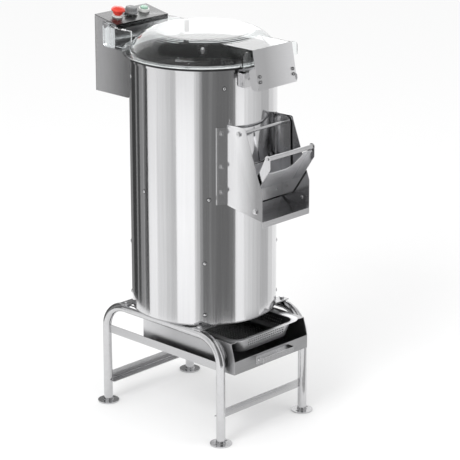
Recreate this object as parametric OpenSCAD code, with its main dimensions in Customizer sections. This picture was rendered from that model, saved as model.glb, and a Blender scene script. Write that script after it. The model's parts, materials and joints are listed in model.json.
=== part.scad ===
// Floor-standing electric potato peeler: a steel drum on a tube stand, with a rotating abrasive disc
// inside, a discharge chute and hanging door in front, a filter drawer below, a clear lid and a
// control box at the back. The origin is on the floor on the drum's axis and the chute faces -Y.

/* [Stand] */
// Distance between the leg axes, side to side
leg_pitch_x = 328; // [310:2:350]
// Distance between the leg axes, front to back
leg_pitch_y = 444; // [430:2:480]
// Outside diameter of the stand tube
tube_d = 25; // [22:1:28]
// Wall of the stand tube
tube_wall = 1.5; // [1:0.5:3]
// Height of the top rail's centreline
rail_z = 299; // [290:1:330]
// Centreline radius of the tube bends
bend_r = 75; // [60:1:80]
// Diameter of a foot flange
foot_d = 60; // [54:1:70]
// Thickness of a foot flange
foot_t = 4; // [3:0.5:6]
// Diameter of the floor bolt holes in a foot flange
foot_hole_d = 7; // [5:0.5:9]
// Distance from a leg's axis to each floor bolt hole
foot_hole_offset = 20; // [18:1:24]
// Height of the side rails' underside
side_rail_z = 210; // [200:1:215]
// Height of a side rail's web
side_rail_h = 23; // [18:1:30]
// Height of the front bar's underside
front_bar_z = 74; // [60:1:120]
// Height of the rear bar's underside
rear_bar_z = 62; // [50:1:120]
// Leg width of the angle section of the lower bars
bar_w = 25; // [18:1:30]
// Sheet thickness of the rails and bars
angle_t = 2; // [1.5:0.5:3]
// Angle round the drum at which the four stand brackets sit
bracket_angle = 45; // [42:1:47]
// Width of a stand bracket
bracket_w = 30; // [24:1:36]
// Thickness of a stand bracket
bracket_t = 3; // [2:0.5:4]

/* [Drawer] */
// Outside width of the drawer tray
tray_w = 291; // [286:1:294]
// Length of the drawer tray, front to back
tray_len = 350; // [345:1:380]
// Distance from the drum's axis to the tray's front wall
tray_front = 255.5; // [250:0.5:270]
// Height of the tray's underside
tray_z = 203; // [200:1:208]
// Height of the tray's side walls
tray_wall_h = 86; // [80:1:88]
// Height of the tray's low front wall
tray_front_h = 37; // [30:1:50]
// Sheet thickness of the tray
tray_t = 1.5; // [1:0.25:2]
// Travel of the drawer
drawer_travel = 250; // [150:10:280]
// Width of the drawer handle
pull_w = 122; // [90:1:150]
// Reach of the drawer handle in front of the tray
pull_reach = 28; // [20:1:40]
// Depth of the drawer handle's lip
pull_lip = 17; // [12:1:24]
// Width of the filter pan's rim
pan_w = 265; // [262:1:268]
// Length of the filter pan's rim
pan_len = 325; // [315:1:330]
// Depth of the filter pan
pan_depth = 44; // [38:1:60]
// Width of the filter pan's rim lip
pan_lip = 13; // [11:1:16]
// Corner radius of the filter pan's body
pan_corner = 28; // [20:1:36]
// Diameter of the filter pan's holes
pan_hole_d = 4.6; // [3:0.2:5]
// Spacing of the filter pan's holes
pan_hole_pitch = 10; // [9:0.5:14]

/* [Drum] */
// Outside diameter of the drum shell
drum_d = 400; // [396:1:404]
// Height of the drum shell
drum_h = 700.5; // [690:0.5:712]
// Sheet thickness of the drum shell
shell_t = 1.5; // [1:0.25:2]
// Thickness of the base plate
base_t = 3; // [2:0.5:4]
// Gap between the base plate's underside and the shell's lower edge
base_drop = 4.1; // [4:0.1:6]
// Height of the base plate's upstand
base_upstand = 40; // [35:1:60]
// Height of the chamber floor's top face above the stand brackets
floor_rise = 316.5; // [312:0.5:318]
// Thickness of the chamber floor
floor_t = 3; // [2:0.5:4]
// Thickness of the abrasive lining
lining_t = 5.5; // [4:0.5:8]
// Gap between the lining's top and the drum's top edge
lining_drop = 59.8; // [55:0.1:100]
// Width of the rolled bead at the drum's top edge
bead_w = 3; // [2:0.5:5]
// Height of the rolled bead
bead_h = 7; // [5:0.5:10]
// Width of the rim gasket
gasket_w = 10; // [8:0.5:12]
// Height of the rim gasket
gasket_h = 8.3; // [6:0.1:9]
// Diameter of a pan head screw's head
screw_head_d = 9; // [7:0.5:11]
// Height of a pan head screw's head
screw_head_h = 2.5; // [1.5:0.5:3]
// Diameter of a pan head screw's shank
screw_d = 4; // [3:0.5:5]

/* [Drive] */
// Diameter of the abrasive disc
disc_d = 376; // [366:1:378]
// Thickness of the abrasive disc
disc_t = 10; // [8:1:12]
// Gap between the chamber floor and the disc
disc_gap = 10; // [8:1:12]
// Number of waves on the disc
wave_count = 3; // [2:1:5]
// Radius of a disc wave
wave_r = 24; // [18:1:30]
// Height of a disc wave above the disc's face
wave_h = 13; // [8:1:16]
// Diameter of the disc shaft
shaft_d = 25; // [22:1:28]
// Outside diameter of the shaft bearings
bearing_d = 52; // [47:1:55]
// Width of a shaft bearing
bearing_w = 15; // [12:1:17]
// Outside diameter of the bearing housing's tube
housing_d = 70; // [64:1:76]
// Length of the bearing housing below the chamber floor
housing_len = 86; // [76:1:92]
// Diameter of the bearing housing's flange
housing_flange_d = 120; // [110:1:130]
// Diameter of the driven pulley
pulley_d = 180; // [160:2:190]
// Diameter of the motor pulley
pinion_d = 56; // [50:1:60]
// Width of both pulleys
pulley_w = 22; // [20:1:26]
// Depth of the belt groove
groove_depth = 10; // [8:0.5:11]
// Width of the belt
belt_w = 9; // [8:0.5:10]
// Thickness of the belt
belt_t = 6; // [5:0.5:7]
// Distance between the disc shaft and the motor shaft
drive_pitch = 121; // [119:0.5:122]
// Diameter of the motor's body
motor_d = 136; // [120:1:138]
// Length of the motor's body
motor_len = 140; // [120:1:150]
// Diameter of the motor's shaft
motor_shaft_d = 19; // [14:1:22]
// Height of the motor plate above the stand brackets
motor_plate_rise = 165; // [160:1:170]
// Diameter of the drain pipe
drain_d = 56; // [50:1:60]
// Distance from the drum's axis to the drain pipe
drain_pitch = 143; // [140:1:146]

/* [Chute] */
// Outside width of the chute
chute_w = 185; // [178:1:190]
// Sheet thickness of the chute
chute_t = 1.5; // [1:0.25:2]
// Distance from the drum's axis to the chute's front edge
chute_front = 304; // [298:1:310]
// Height of the chute's front lower corner
chute_low_z = 632; // [628:1:634]
// Height of the chute's front upper corner
chute_mid_z = 708; // [690:1:720]
// Height of the side plates' top edge
chute_top_z = 874; // [868:1:880]
// Rise of the chute's floor, in degrees
chute_slope = 9; // [7:0.5:10]
// Depth of the floor's front lip
chute_lip = 15; // [10:1:20]
// Width of the flange that fixes a side plate to the drum
chute_flange = 26; // [22:1:30]
// Diameter of the rod that carries the door
rod_d = 8; // [6:0.5:10]
// Distance from the drum's axis to the rod
rod_y = 220; // [219:0.5:224]
// Height of the rod
rod_z = 854.6; // [850:0.1:856]
// Diameter of the spacer collars on the rod
collar_d = 12.5; // [11:0.5:15]
// Width of the drum's discharge mouth
mouth_w = 160; // [140:1:164]
// Height of the drum's discharge mouth
mouth_h = 93; // [80:1:95]
// Wall of the mouth frame
mouth_t = 3; // [2:0.5:4]

/* [Door] */
// Lean of the door's closing plate, in degrees
door_lean = 3.6; // [2:0.1:4]
// Sheet thickness of the door
door_t = 2; // [1.5:0.25:2.5]
// Gap between the door's sides and the chute
door_side_gap = 4; // [3:0.5:5]
// Lean of the door's front panel, in degrees
panel_lean = 32; // [30:1:35]
// Width of the hand opening in the door's front panel
hand_w = 136; // [120:1:144]
// Corner radius of the hand opening
hand_r = 50; // [35:1:58]
// Diameter of the door's handle tube
grip_d = 13; // [11:0.5:16]
// Thickness of the door's gasket
door_gasket_t = 3; // [2:0.5:4]

/* [Lid] */
// Width of the lid's flange outside the dome
lid_flange_w = 20; // [18:0.5:22]
// Wall of the lid
lid_t = 3.5; // [3:0.25:4]
// Height of the dome above the flange's underside
dome_h = 60; // [50:1:62]
// Radius of the flat top of the dome
dome_flat_r = 130; // [115:1:140]
// Distance of the dome's foot inside the drum's outer face
dome_foot_in = 2; // [1:0.5:5]
// Width of the clear box at the lid's front
visor_w = 146; // [136:1:150]
// Distance from the drum's axis to the top of the lid's front plate
visor_front = 252; // [246:1:256]
// Height of the front plate
plate_h = 107; // [95:1:110]
// Lean of the front plate, in degrees
plate_lean = 11; // [9:0.5:12]
// Sheet thickness of the front plate
plate_t = 1.5; // [1:0.25:2]
// Height of the front plate's side returns
return_h = 62; // [50:1:70]
// Depth of the front plate's side returns
return_d = 24; // [18:1:26]
// Distance of the lid's hinge pins behind the drum's axis
hinge_y = 267; // [262:1:272]
// Height of the lid's hinge pins
hinge_z = 1071; // [1066:1:1073]
// Diameter of the lid's hinge pins
pin_d = 8; // [6:0.5:10]

/* [Control box] */
// Outside width of the control box
case_w = 196; // [190:1:200]
// Distance from the drum's axis to the control box's rear face
case_back = 320; // [314:1:326]
// Distance from the drum's axis to the upper front plate
case_front = 235; // [232:1:238]
// Height of the control box's underside
case_z = 880; // [874:1:886]
// Height of the control panel's front edge
panel_z = 1078; // [1074:1:1080]
// Slope of the control panel, in degrees
panel_slope = 10.6; // [9:0.2:12]
// Sheet thickness of the control box
case_t = 1.5; // [1:0.25:2]
// Spacing of the three controls
control_pitch = 50; // [46:1:54]
// Diameter of the stop button's head
stop_d = 39; // [34:1:42]
// Diameter of the timer knob
knob_d = 38; // [32:1:40]
// Diameter of the start button
start_d = 22; // [18:1:26]
// Bore of the cable gland
gland_bore_d = 9; // [7:0.5:11]

/* [Hidden] */
$fn = 96;
cut = 1;
seat = 0.3;
weld = 0.1;
run_fit = 0.06;

leg_x = leg_pitch_x/2;
leg_y = leg_pitch_y/2;
tube_r = tube_d/2;
rail_half = leg_y - bend_r;
stand_top = rail_z + tube_r + bracket_t;

drum_r = drum_d/2;
drum_in_r = drum_r - shell_t;
inner_r = drum_in_r - seat;
shell_z = stand_top + base_drop;
drum_top = shell_z + drum_h;
floor_z = stand_top + floor_rise;
lining_in_r = inner_r - lining_t;
lining_z = floor_z + seat;
lining_top = drum_top - lining_drop;
lining_h = lining_top - lining_z;
gasket_z = drum_top + seat;
gasket_top = gasket_z + gasket_h;

upstand_t = 1.5;
motor_plate_z = stand_top + motor_plate_rise;
motor_plate_t = 5;
motor_upstand = 18;
pulley_gap = 15;
pulley_z = motor_plate_z + motor_plate_t + pulley_gap;
housing_z = floor_z - floor_t - housing_len;
housing_flange_t = 8;
housing_collar_d = 64;
housing_collar_h = 7;
bearing_shoulder = 3;
seal_w = 8;
disc_z = floor_z + disc_gap;
disc_top = disc_z + disc_t;
disc_bore_d = 20;
disc_cap_d = 60;
disc_cap_h = 16;
pulley_r = pulley_d/2;
pinion_r = pinion_d/2;
hub_d = 44;
hub_extra = 7;
belt_run_r = pulley_r - groove_depth + seat;
belt_run_small_r = pinion_r - groove_depth + seat;
groove_gap = 1;
groove_flare = 2;
motor_gap = 1;
motor_foot = 30;

mouth_sill = 16;
mouth_z = floor_z + chute_t + mouth_t + seat*5 + mouth_sill;
mouth_top = mouth_z + mouth_h;
chute_x = chute_w/2;
chute_in_x = chute_x - chute_t;
chute_rake = 20.4;
rod_hole_d = rod_d + 2*run_fit;

door_x = chute_in_x - door_side_gap;
door_in_x = door_x - door_t;
door_foot_z = mouth_z - 2*door_t;
door_reach = 10;
door_foot_y = -drum_r - door_reach;
door_plate_h = mouth_h + 6*door_t;
panel_reach = 48.5;
panel_rise = 46.5;
panel_foot_y = -drum_r - panel_reach;
panel_foot_z = mouth_z + panel_rise;
panel_up = 106.5;
side_flange = 22;
grip_y = -317;
grip_z = 805;

lid_z = gasket_top + seat;
dome_foot_r = drum_r - dome_foot_in;
lid_r = dome_foot_r + lid_flange_w;
lid_top = lid_z + dome_h;
flange_top = lid_z + lid_t;
visor_x = visor_w/2;
visor_step = 8;
visor_top = lid_top - visor_step;
visor_drop = 10;
dome_power = 1.6;
dome_steps = 14;
lug_gap = 1.3;
lug_w = 12.5;
ear_t = 6;
ear_r = 14;

case_x = case_w/2;
shelf_gap = 4;
shelf_z = drum_top - bead_h - shelf_gap;
panel_len = (case_back - case_front)/cos(panel_slope);
controls_y = panel_len*0.53;

// An outline in the Y-Z plane, extruded along X from x0 to x1.
module across(x0, x1) {
    translate([x0, 0, 0]) rotate([90, 0, 90]) linear_extrude(x1 - x0) children();
}

// A tube that stands on a given height.
module ring(r_out, r_in, h, z = 0) {
    translate([0, 0, z]) difference() {
        cylinder(r = r_out, h = h);
        translate([0, 0, -cut]) cylinder(r = r_in, h = h + 2*cut);
    }
}

// A box from one corner to the other.
module block(low, high) {
    translate(low) cube(high - low);
}

module rounded_rect(w, l, r) {
    square([w - 2*r, l], center = true);
    square([w, l - 2*r], center = true);
    for (sx = [-1, 1]) for (sy = [-1, 1])
        translate([sx*(w/2 - r), sy*(l/2 - r)]) circle(r = r);
}

// Copies a child at an angle round the drum, counted from the front, with its +X pointing outward.
module round_drum(angle) {
    rotate([0, 0, angle - 90]) children();
}

module mirrored() {
    children();
    mirror([1, 0, 0]) children();
}

// Stand

module frame_path(r) {
    for (sy = [-1, 1]) {
        translate([0, sy*leg_y, foot_t]) cylinder(r = r, h = rail_z - bend_r - foot_t);
        translate([0, sy*rail_half, rail_z - bend_r]) rotate([90, 0, 90*sy])
            rotate_extrude(angle = 90) translate([bend_r, 0]) circle(r = r);
    }
    translate([0, -rail_half, rail_z]) rotate([-90, 0, 0]) cylinder(r = r, h = 2*rail_half);
}

bolt_x = leg_x;
bracket_y = leg_x*sin(bracket_angle)/cos(bracket_angle)*0.866;
stand_bolt_d = 8;
stand_bolt_clear = 0.4;

module side_frame(side) {
    color("silver") difference() {
        translate([side*leg_x, 0, 0]) frame_path(tube_r);
        translate([side*leg_x, 0, 0]) frame_path(tube_r - tube_wall);
        for (sy = [-1, 1]) translate([side*bolt_x, sy*bracket_y, rail_z])
            cylinder(r = stand_bolt_d/2 + stand_bolt_clear, h = tube_d);
    }
}
module left_frame() { side_frame(-1); }
module right_frame() { side_frame(1); }

runner_gap = 0.7;
runner_grip = 4;
rail_flange_x = leg_x - tube_r - runner_gap - runner_grip;

module legs_cut() {
    for (sx = [-1, 1]) for (sy = [-1, 1])
        translate([sx*leg_x, sy*leg_y, 0]) cylinder(r = tube_r + weld, h = rail_z - bend_r);
}

module side_rail(side) {
    web = leg_x + angle_t/2;
    color("silver") difference() {
        scale([side, 1, 1]) union() {
            block([web - angle_t, -leg_y, side_rail_z], [web, leg_y, side_rail_z + side_rail_h]);
            block([rail_flange_x, -leg_y, side_rail_z], [web, leg_y, side_rail_z + angle_t]);
        }
        legs_cut();
        for (sy = [-1, 1])
            translate([0, sy*(leg_y + tube_r), side_rail_z + side_rail_h/2])
                cube([leg_pitch_x*2, tube_d*2, side_rail_h*2], center = true);
    }
}
module left_side_rail() { side_rail(-1); }
module right_side_rail() { side_rail(1); }

// An angle bar between two legs, its flange turned under the machine.
module lower_bar(y, z, inward) {
    color("silver") difference() {
        union() {
            block([-leg_x, y - angle_t/2, z], [leg_x, y + angle_t/2, z + bar_w]);
            translate([0, y + inward*bar_w/2, z + angle_t/2])
                cube([leg_pitch_x, bar_w, angle_t], center = true);
        }
        legs_cut();
    }
}
module front_lower_bar() { lower_bar(-leg_y, front_bar_z, 1); }
module rear_lower_bar() { lower_bar(leg_y, rear_bar_z, -1); }

spigot_h = 30;

module foot_flanges() {
    color("gainsboro") for (sx = [-1, 1]) for (sy = [-1, 1]) translate([sx*leg_x, sy*leg_y, 0]) {
        difference() {
            union() {
                cylinder(r = foot_d/2, h = foot_t);
                cylinder(r = tube_r - tube_wall - weld, h = foot_t + spigot_h);
            }
            for (s = [-1, 1]) translate([s*foot_hole_offset, 0, -cut])
                cylinder(r = foot_hole_d/2, h = foot_t + 2*cut);
        }
    }
}

module stand_brackets() {
    color("silver") for (sx = [-1, 1]) for (sy = [-1, 1]) difference() {
        scale([sx, 1, 1]) block([leg_x - tube_d*2, sy*bracket_y - bracket_w/2, rail_z + tube_r],
                                [leg_x + tube_r, sy*bracket_y + bracket_w/2, stand_top]);
        translate([sx*bolt_x, sy*bracket_y, rail_z])
            cylinder(r = stand_bolt_d/2 + stand_bolt_clear, h = tube_d);
    }
}

module stand_bolts() {
    color("gray") for (sx = [-1, 1]) for (sy = [-1, 1]) translate([sx*bolt_x, sy*bracket_y, 0]) {
        translate([0, 0, stand_top]) cylinder(r = stand_bolt_d*0.8, h = stand_bolt_d*0.6, $fn = 6);
        translate([0, 0, rail_z]) cylinder(r = stand_bolt_d/2, h = stand_top - rail_z);
    }
}

// Drawer

tray_x = tray_w/2;
tray_back = tray_len - tray_front;
tray_top = tray_z + tray_wall_h;
tray_shelf = tray_x - pan_w/2 + pan_lip*0.6;
tray_notch = 13.5;
runner_z = side_rail_z + angle_t + seat;
runner_x = leg_x - tube_r - runner_gap;
pan_back_gap = 17;
pan_y = tray_back - tray_t - pan_len/2 - pan_back_gap;
pan_z = tray_top + seat;
pan_t = 1;

module drawer_tray() {
    color("lightgray") {
        block([-tray_x, -tray_front, tray_z], [tray_x, tray_back, tray_z + tray_t]);
        block([-tray_x, -tray_front, tray_z], [tray_x, -tray_front + tray_t, tray_z + tray_front_h]);
        block([-tray_x, tray_back - tray_t, tray_z], [tray_x, tray_back, tray_top]);
        for (sx = [-1, 1]) scale([sx, 1, 1]) {
            across(tray_x - tray_t, tray_x) polygon([
                [-tray_front, tray_z], [tray_back, tray_z], [tray_back, tray_top],
                [-tray_front + tray_notch, tray_top], [-tray_front, tray_z + tray_front_h]
            ]);
            block([tray_x - tray_shelf, -tray_front + tray_notch, tray_top - tray_t],
                  [tray_x, tray_back, tray_top]);
            block([tray_x - tray_t, -leg_y + tube_d, runner_z], [runner_x, tray_back, runner_z + tray_t]);
        }
    }
}

pull_gap = 0.1;
pull_z = tray_z + tray_front_h - 2*tray_t;
pull_leg = 26;
pull_screw_share = 0.42;

module drawer_handle() {
    y0 = -tray_front - pull_gap;
    color("silver") difference() {
        union() {
            block([-pull_w/2, y0 - tray_t, pull_z - pull_leg], [pull_w/2, y0, pull_z]);
            block([-pull_w/2, y0 - pull_reach, pull_z - tray_t], [pull_w/2, y0, pull_z]);
            block([-pull_w/2, y0 - pull_reach, pull_z - pull_lip],
                  [pull_w/2, y0 - pull_reach + tray_t, pull_z]);
        }
        for (s = [-1, 1]) translate([s*pull_w*pull_screw_share, y0 + cut, pull_z - pull_leg/2])
            rotate([90, 0, 0]) cylinder(r = screw_d/2 + weld, h = tray_t + 2*cut);
    }
}

module drawer_screws() {
    y0 = -tray_front - pull_gap;
    color("gray") for (s = [-1, 1]) translate([s*pull_w*pull_screw_share, y0, pull_z - pull_leg/2])
        rotate([90, 0, 0]) {
            cylinder(r = screw_d/2, h = tray_t + weld);
            translate([0, 0, tray_t]) cylinder(r = screw_head_d/2, h = screw_head_h);
        }
}

pan_body_w = pan_w - 2*pan_lip;
pan_body_l = pan_len - 2*pan_lip;
pan_rows = floor((pan_depth - pan_hole_pitch)/pan_hole_pitch) + 1;
pan_cols = floor((pan_body_w - 2*pan_corner)/pan_hole_pitch) + 1;

module filter_pan() {
    color("silver") translate([0, pan_y, 0]) difference() {
        union() {
            translate([0, 0, pan_z]) linear_extrude(pan_t) rounded_rect(pan_w, pan_len, pan_corner*0.6);
            translate([0, 0, pan_z - pan_depth]) linear_extrude(pan_depth)
                rounded_rect(pan_body_w, pan_body_l, pan_corner);
        }
        translate([0, 0, pan_z - pan_depth + pan_t]) linear_extrude(pan_depth + cut)
            rounded_rect(pan_body_w - 2*pan_t, pan_body_l - 2*pan_t, pan_corner - pan_t);
        for (r = [0:pan_rows - 1]) for (c = [0:pan_cols - 1])
            translate([(c - (pan_cols - 1)/2)*pan_hole_pitch, -pan_body_l/2 - cut,
                       pan_z - (r + 0.8)*pan_hole_pitch])
                rotate([-90, 0, 0]) cylinder(r = pan_hole_d/2, h = pan_t + 2*cut, $fn = 24);
    }
}

// Drum and chamber

// Rows of screws round the drum: height, then the angles from the front on each side.
base_screw_z = shell_z + base_upstand*0.67;
motor_screw_z = motor_plate_z + motor_plate_t + motor_upstand*0.4;
floor_screw_rise = 38.5;
top_screw_drop = 49;
floor_screw_z = floor_z + floor_screw_rise;
top_screw_z = drum_top - top_screw_drop;
screw_rows = [
    [base_screw_z, [45, 135]],
    [motor_screw_z, [45, 135]],
    [floor_screw_z, [41.6, 98.6, 155.6]],
    [top_screw_z, [29.6, 120]]
];

module at_shell_screws() {
    for (row = screw_rows) for (a = row[1]) for (s = [-1, 1])
        round_drum(s*a) translate([0, 0, row[0]]) children();
}

module mouth_prism(grow) {
    block([-mouth_w/2 - grow, -drum_r - pan_corner*2, mouth_z - mouth_t - grow],
          [mouth_w/2 + grow, -drum_r/2, mouth_top + mouth_t + grow]);
}

inlet_angle = 135;
inlet_drop = 34;
inlet_z = drum_top - inlet_drop;
inlet_d = 21;

module at_inlet() {
    round_drum(inlet_angle) translate([0, 0, inlet_z]) rotate([0, 90, 0]) children();
}

module drum_shell() {
    color("lightgray") difference() {
        union() {
            ring(drum_r, drum_in_r, drum_h, shell_z);
            ring(drum_r + bead_w, drum_in_r, bead_h, drum_top - bead_h);
        }
        mouth_prism(weld);
        at_shell_screws() translate([drum_in_r - cut, 0, 0]) rotate([0, 90, 0])
            cylinder(r = screw_d/2 + weld, h = shell_t + 2*cut);
        at_inlet() cylinder(r = inlet_d/2 + weld, h = drum_d);
    }
}

module pan_head_screws() {
    color("gray") {
        at_shell_screws() translate([drum_in_r, 0, 0]) rotate([0, 90, 0]) {
            cylinder(r = screw_d/2, h = shell_t);
            translate([0, 0, shell_t]) cylinder(r = screw_head_d/2, h = screw_head_h);
        }
        at_cover_screws() {
            cylinder(r = screw_d/2, h = case_t + weld);
            translate([0, 0, case_t]) cylinder(r = screw_head_d/2, h = screw_head_h);
        }
        at_sensor_screw() {
            cylinder(r = screw_d/2, h = bracket_sheet);
            translate([0, 0, bracket_sheet]) cylinder(r = screw_head_d/2, h = screw_head_h);
        }
    }
}

module drain_hole(grow) {
    translate([0, -drain_pitch, shell_z - drum_r]) cylinder(r = drain_d/2 + grow, h = drum_h);
}

vent_count = 12;
vent_d = 14;
vent_pitch_r = 92;
base_hole_d = 110;

module base_plate() {
    color("dimgray") difference() {
        union() {
            translate([0, 0, stand_top]) cylinder(r = inner_r, h = base_t);
            ring(inner_r, inner_r - upstand_t, base_drop + base_upstand, stand_top);
        }
        drain_hole(seat);
        translate([0, 0, stand_top - cut]) cylinder(r = base_hole_d/2, h = base_t + 2*cut);
        for (i = [0:vent_count - 1]) rotate([0, 0, i*360/vent_count])
            translate([vent_pitch_r, 0, stand_top - cut]) cylinder(r = vent_d/2, h = base_t + 2*cut);
    }
}

module drum_floor() {
    color("silver") difference() {
        translate([0, 0, floor_z - floor_t]) cylinder(r = inner_r, h = floor_t);
        drain_hole(seat);
        translate([0, 0, floor_z - floor_t - cut])
            cylinder(r = housing_collar_d/2 + weld, h = floor_t + 2*cut);
    }
}

module abrasive_lining() {
    color("dimgray") difference() {
        ring(inner_r, lining_in_r, lining_h, lining_z);
        mouth_prism(seat);
        at_inlet() cylinder(r = inlet_nut_d/2 + seat, h = drum_d);
    }
}

module rim_gasket() {
    color("black") ring(drum_r + gasket_w*0.6, drum_r - gasket_w*0.4, gasket_h, gasket_z);
}

// The plane of the door's closing plate: +Z up the plate, +Y into the drum.
module door_plane() {
    translate([0, door_foot_y, door_foot_z]) rotate([-door_lean, 0, 0]) children();
}

module mouth_frame() {
    color("silver") difference() {
        mouth_prism(0);
        block([-mouth_w/2, -drum_d, mouth_z], [mouth_w/2, 0, mouth_top]);
        translate([0, 0, floor_z]) cylinder(r = lining_in_r + 1.5*mouth_t, h = drum_h/2);
        door_plane() translate([-drum_r, -drum_r + door_gasket_t + seat, -drum_r])
            cube([drum_d, drum_r, drum_d]);
    }
}

drain_flange = 8;
drain_wall = 2;
drain_low_rise = 6;
drain_top = floor_z;
drain_low = rail_z + drain_low_rise;

module drain_pipe() {
    color("silver") translate([0, -drain_pitch, 0]) {
        ring(drain_d/2, drain_d/2 - drain_wall, drain_top - drain_low, drain_low);
        ring(drain_d/2 + drain_flange, drain_d/2 - drain_wall, drain_wall,
             floor_z - floor_t - drain_wall - weld);
    }
}

inlet_out = 26;
inlet_in = 14;
inlet_bore_d = 14;
inlet_nut_d = 32;
inlet_nut_t = 6;

module water_inlet() {
    color("goldenrod") at_inlet() difference() {
        union() {
            translate([0, 0, drum_r - inlet_in]) cylinder(r = inlet_d/2, h = inlet_in + inlet_out);
            translate([0, 0, drum_r + seat]) cylinder(r = inlet_nut_d/2, h = inlet_nut_t, $fn = 6);
            translate([0, 0, drum_in_r - inlet_nut_t])
                cylinder(r = inlet_nut_d/2, h = inlet_nut_t - 2*seat, $fn = 6);
        }
        translate([0, 0, drum_r - inlet_in - cut])
            cylinder(r = inlet_bore_d/2, h = inlet_in + inlet_out + 2*cut);
    }
}

// Drive

module abrasive_disc() {
    color("dimgray") difference() {
        union() {
            translate([0, 0, disc_z]) cylinder(r = disc_d/2, h = disc_t);
            intersection() {
                translate([0, 0, disc_z + disc_t/2]) cylinder(r = disc_d/2, h = disc_t + wave_h);
                for (i = [0:wave_count - 1]) rotate([0, 0, i*360/wave_count])
                    translate([disc_cap_d/2 - wave_r/2, 0, disc_top + wave_h - wave_r])
                        rotate([0, 90, 0]) cylinder(r = wave_r, h = disc_d/2);
            }
        }
        translate([0, 0, disc_z - cut]) cylinder(r = disc_bore_d/2 + run_fit, h = disc_t + wave_h + 2*cut);
        translate([0, 0, disc_top]) cylinder(r = disc_cap_d/2 + seat, h = wave_h + disc_t);
    }
}

module disc_cap() {
    cap_r = (pow(disc_cap_d/2, 2) + pow(disc_cap_h, 2))/(2*disc_cap_h);
    color("silver") intersection() {
        translate([0, 0, disc_top + disc_cap_h - cap_r]) sphere(r = cap_r);
        translate([0, 0, disc_top]) cylinder(r = disc_cap_d/2, h = disc_cap_h + cut);
    }
}

module disc_shaft() {
    color("silver") {
        translate([0, 0, pulley_z - hub_extra]) cylinder(r = shaft_d/2, h = disc_z - pulley_z + hub_extra);
        translate([0, 0, disc_z]) cylinder(r = disc_bore_d/2, h = disc_t);
    }
}

module bearing_housing() {
    color("gray") difference() {
        union() {
            translate([0, 0, housing_z]) cylinder(r = housing_d/2, h = housing_len);
            translate([0, 0, floor_z - floor_t - housing_flange_t])
                cylinder(r = housing_flange_d/2, h = housing_flange_t);
            translate([0, 0, floor_z - floor_t])
                cylinder(r = housing_collar_d/2, h = floor_t + housing_collar_h);
        }
        translate([0, 0, housing_z - cut]) cylinder(r = bearing_d/2, h = bearing_w + cut);
        translate([0, 0, housing_z]) cylinder(r = bearing_d/2 - bearing_shoulder, h = drum_r);
        translate([0, 0, floor_z + housing_collar_h - seal_w - bearing_w])
            cylinder(r = bearing_d/2, h = seal_w + bearing_w + cut);
    }
}

module shaft_bearings() {
    color("lightsteelblue") {
        ring(bearing_d/2, shaft_d/2 + run_fit, bearing_w, housing_z);
        ring(bearing_d/2, shaft_d/2 + run_fit, bearing_w, floor_z + housing_collar_h - seal_w - bearing_w);
    }
}

module shaft_seal() {
    color("black") ring(bearing_d/2, shaft_d/2 + run_fit, seal_w, floor_z + housing_collar_h - seal_w);
}

// The section of a grooved pulley, as a profile to revolve.
module pulley_profile(r, bore) {
    g = belt_w/2 + groove_gap/2;
    polygon([
        [bore, 0], [r, 0], [r, pulley_w/2 - g - groove_flare], [r - groove_depth, pulley_w/2 - g],
        [r - groove_depth, pulley_w/2 + g], [r, pulley_w/2 + g + groove_flare],
        [r, pulley_w], [bore, pulley_w]
    ]);
}

web_t = 8;

module driven_pulley() {
    color("gray") translate([0, 0, pulley_z]) difference() {
        union() {
            rotate_extrude() pulley_profile(pulley_r, shaft_d/2 + run_fit);
            translate([0, 0, -hub_extra]) ring(hub_d/2, shaft_d/2 + run_fit, pulley_w + hub_extra);
        }
        translate([0, 0, (pulley_w + web_t)/2]) ring(pulley_r - groove_depth*2, hub_d/2, pulley_w);
        translate([0, 0, -(pulley_w + web_t)/2]) ring(pulley_r - groove_depth*2, hub_d/2, pulley_w);
    }
}

module motor_pulley() {
    color("gray") translate([0, drive_pitch, pulley_z])
        rotate_extrude() pulley_profile(pinion_r, motor_shaft_d/2 + run_fit);
}

// Two circles and the band between their outer tangents.
module belt_outline(r1, r2) {
    s = (r1 - r2)/drive_pitch;
    c = sqrt(1 - s*s);
    circle(r = r1);
    translate([0, drive_pitch]) circle(r = r2);
    polygon([
        [r1*c, r1*s], [r2*c, drive_pitch + r2*s], [-r2*c, drive_pitch + r2*s], [-r1*c, r1*s]
    ]);
}

module drive_belt() {
    color("black") translate([0, 0, pulley_z + (pulley_w - belt_w)/2]) linear_extrude(belt_w) difference() {
        belt_outline(belt_run_r + belt_t, belt_run_small_r + belt_t);
        belt_outline(belt_run_r, belt_run_small_r);
    }
}

module motor_plate() {
    color("silver") difference() {
        union() {
            translate([0, 0, motor_plate_z]) cylinder(r = inner_r, h = motor_plate_t);
            ring(inner_r, inner_r - upstand_t, motor_plate_t + motor_upstand, motor_plate_z);
        }
        drain_hole(seat);
        translate([0, drive_pitch, motor_plate_z - cut])
            cylinder(r = motor_shaft_d, h = motor_plate_t + 2*cut);
        translate([0, 0, motor_plate_z - cut]) cylinder(r = shaft_d, h = motor_plate_t + 2*cut);
    }
}

fin_count = 24;
fin_t = 3;
fin_h = 8;
motor_foot_t = 8;

module motor_body() {
    color("steelblue") translate([0, drive_pitch, motor_plate_z - motor_len]) difference() {
        union() {
            cylinder(r = motor_d/2 - fin_h, h = motor_len);
            translate([0, 0, motor_len - motor_foot_t]) cylinder(r = motor_d/2, h = motor_foot_t);
            cylinder(r = motor_d/2 - fin_h/2, h = motor_foot);
            for (i = [0:fin_count - 1]) rotate([0, 0, i*360/fin_count])
                translate([motor_d/4, -fin_t/2, motor_foot - cut])
                    cube([motor_d/4 - fin_h/4, fin_t, motor_len - motor_foot - motor_foot_t/2]);
        }
        translate([0, 0, motor_len/2]) cylinder(r = motor_shaft_d/2 + motor_gap, h = motor_len);
    }
}

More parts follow.
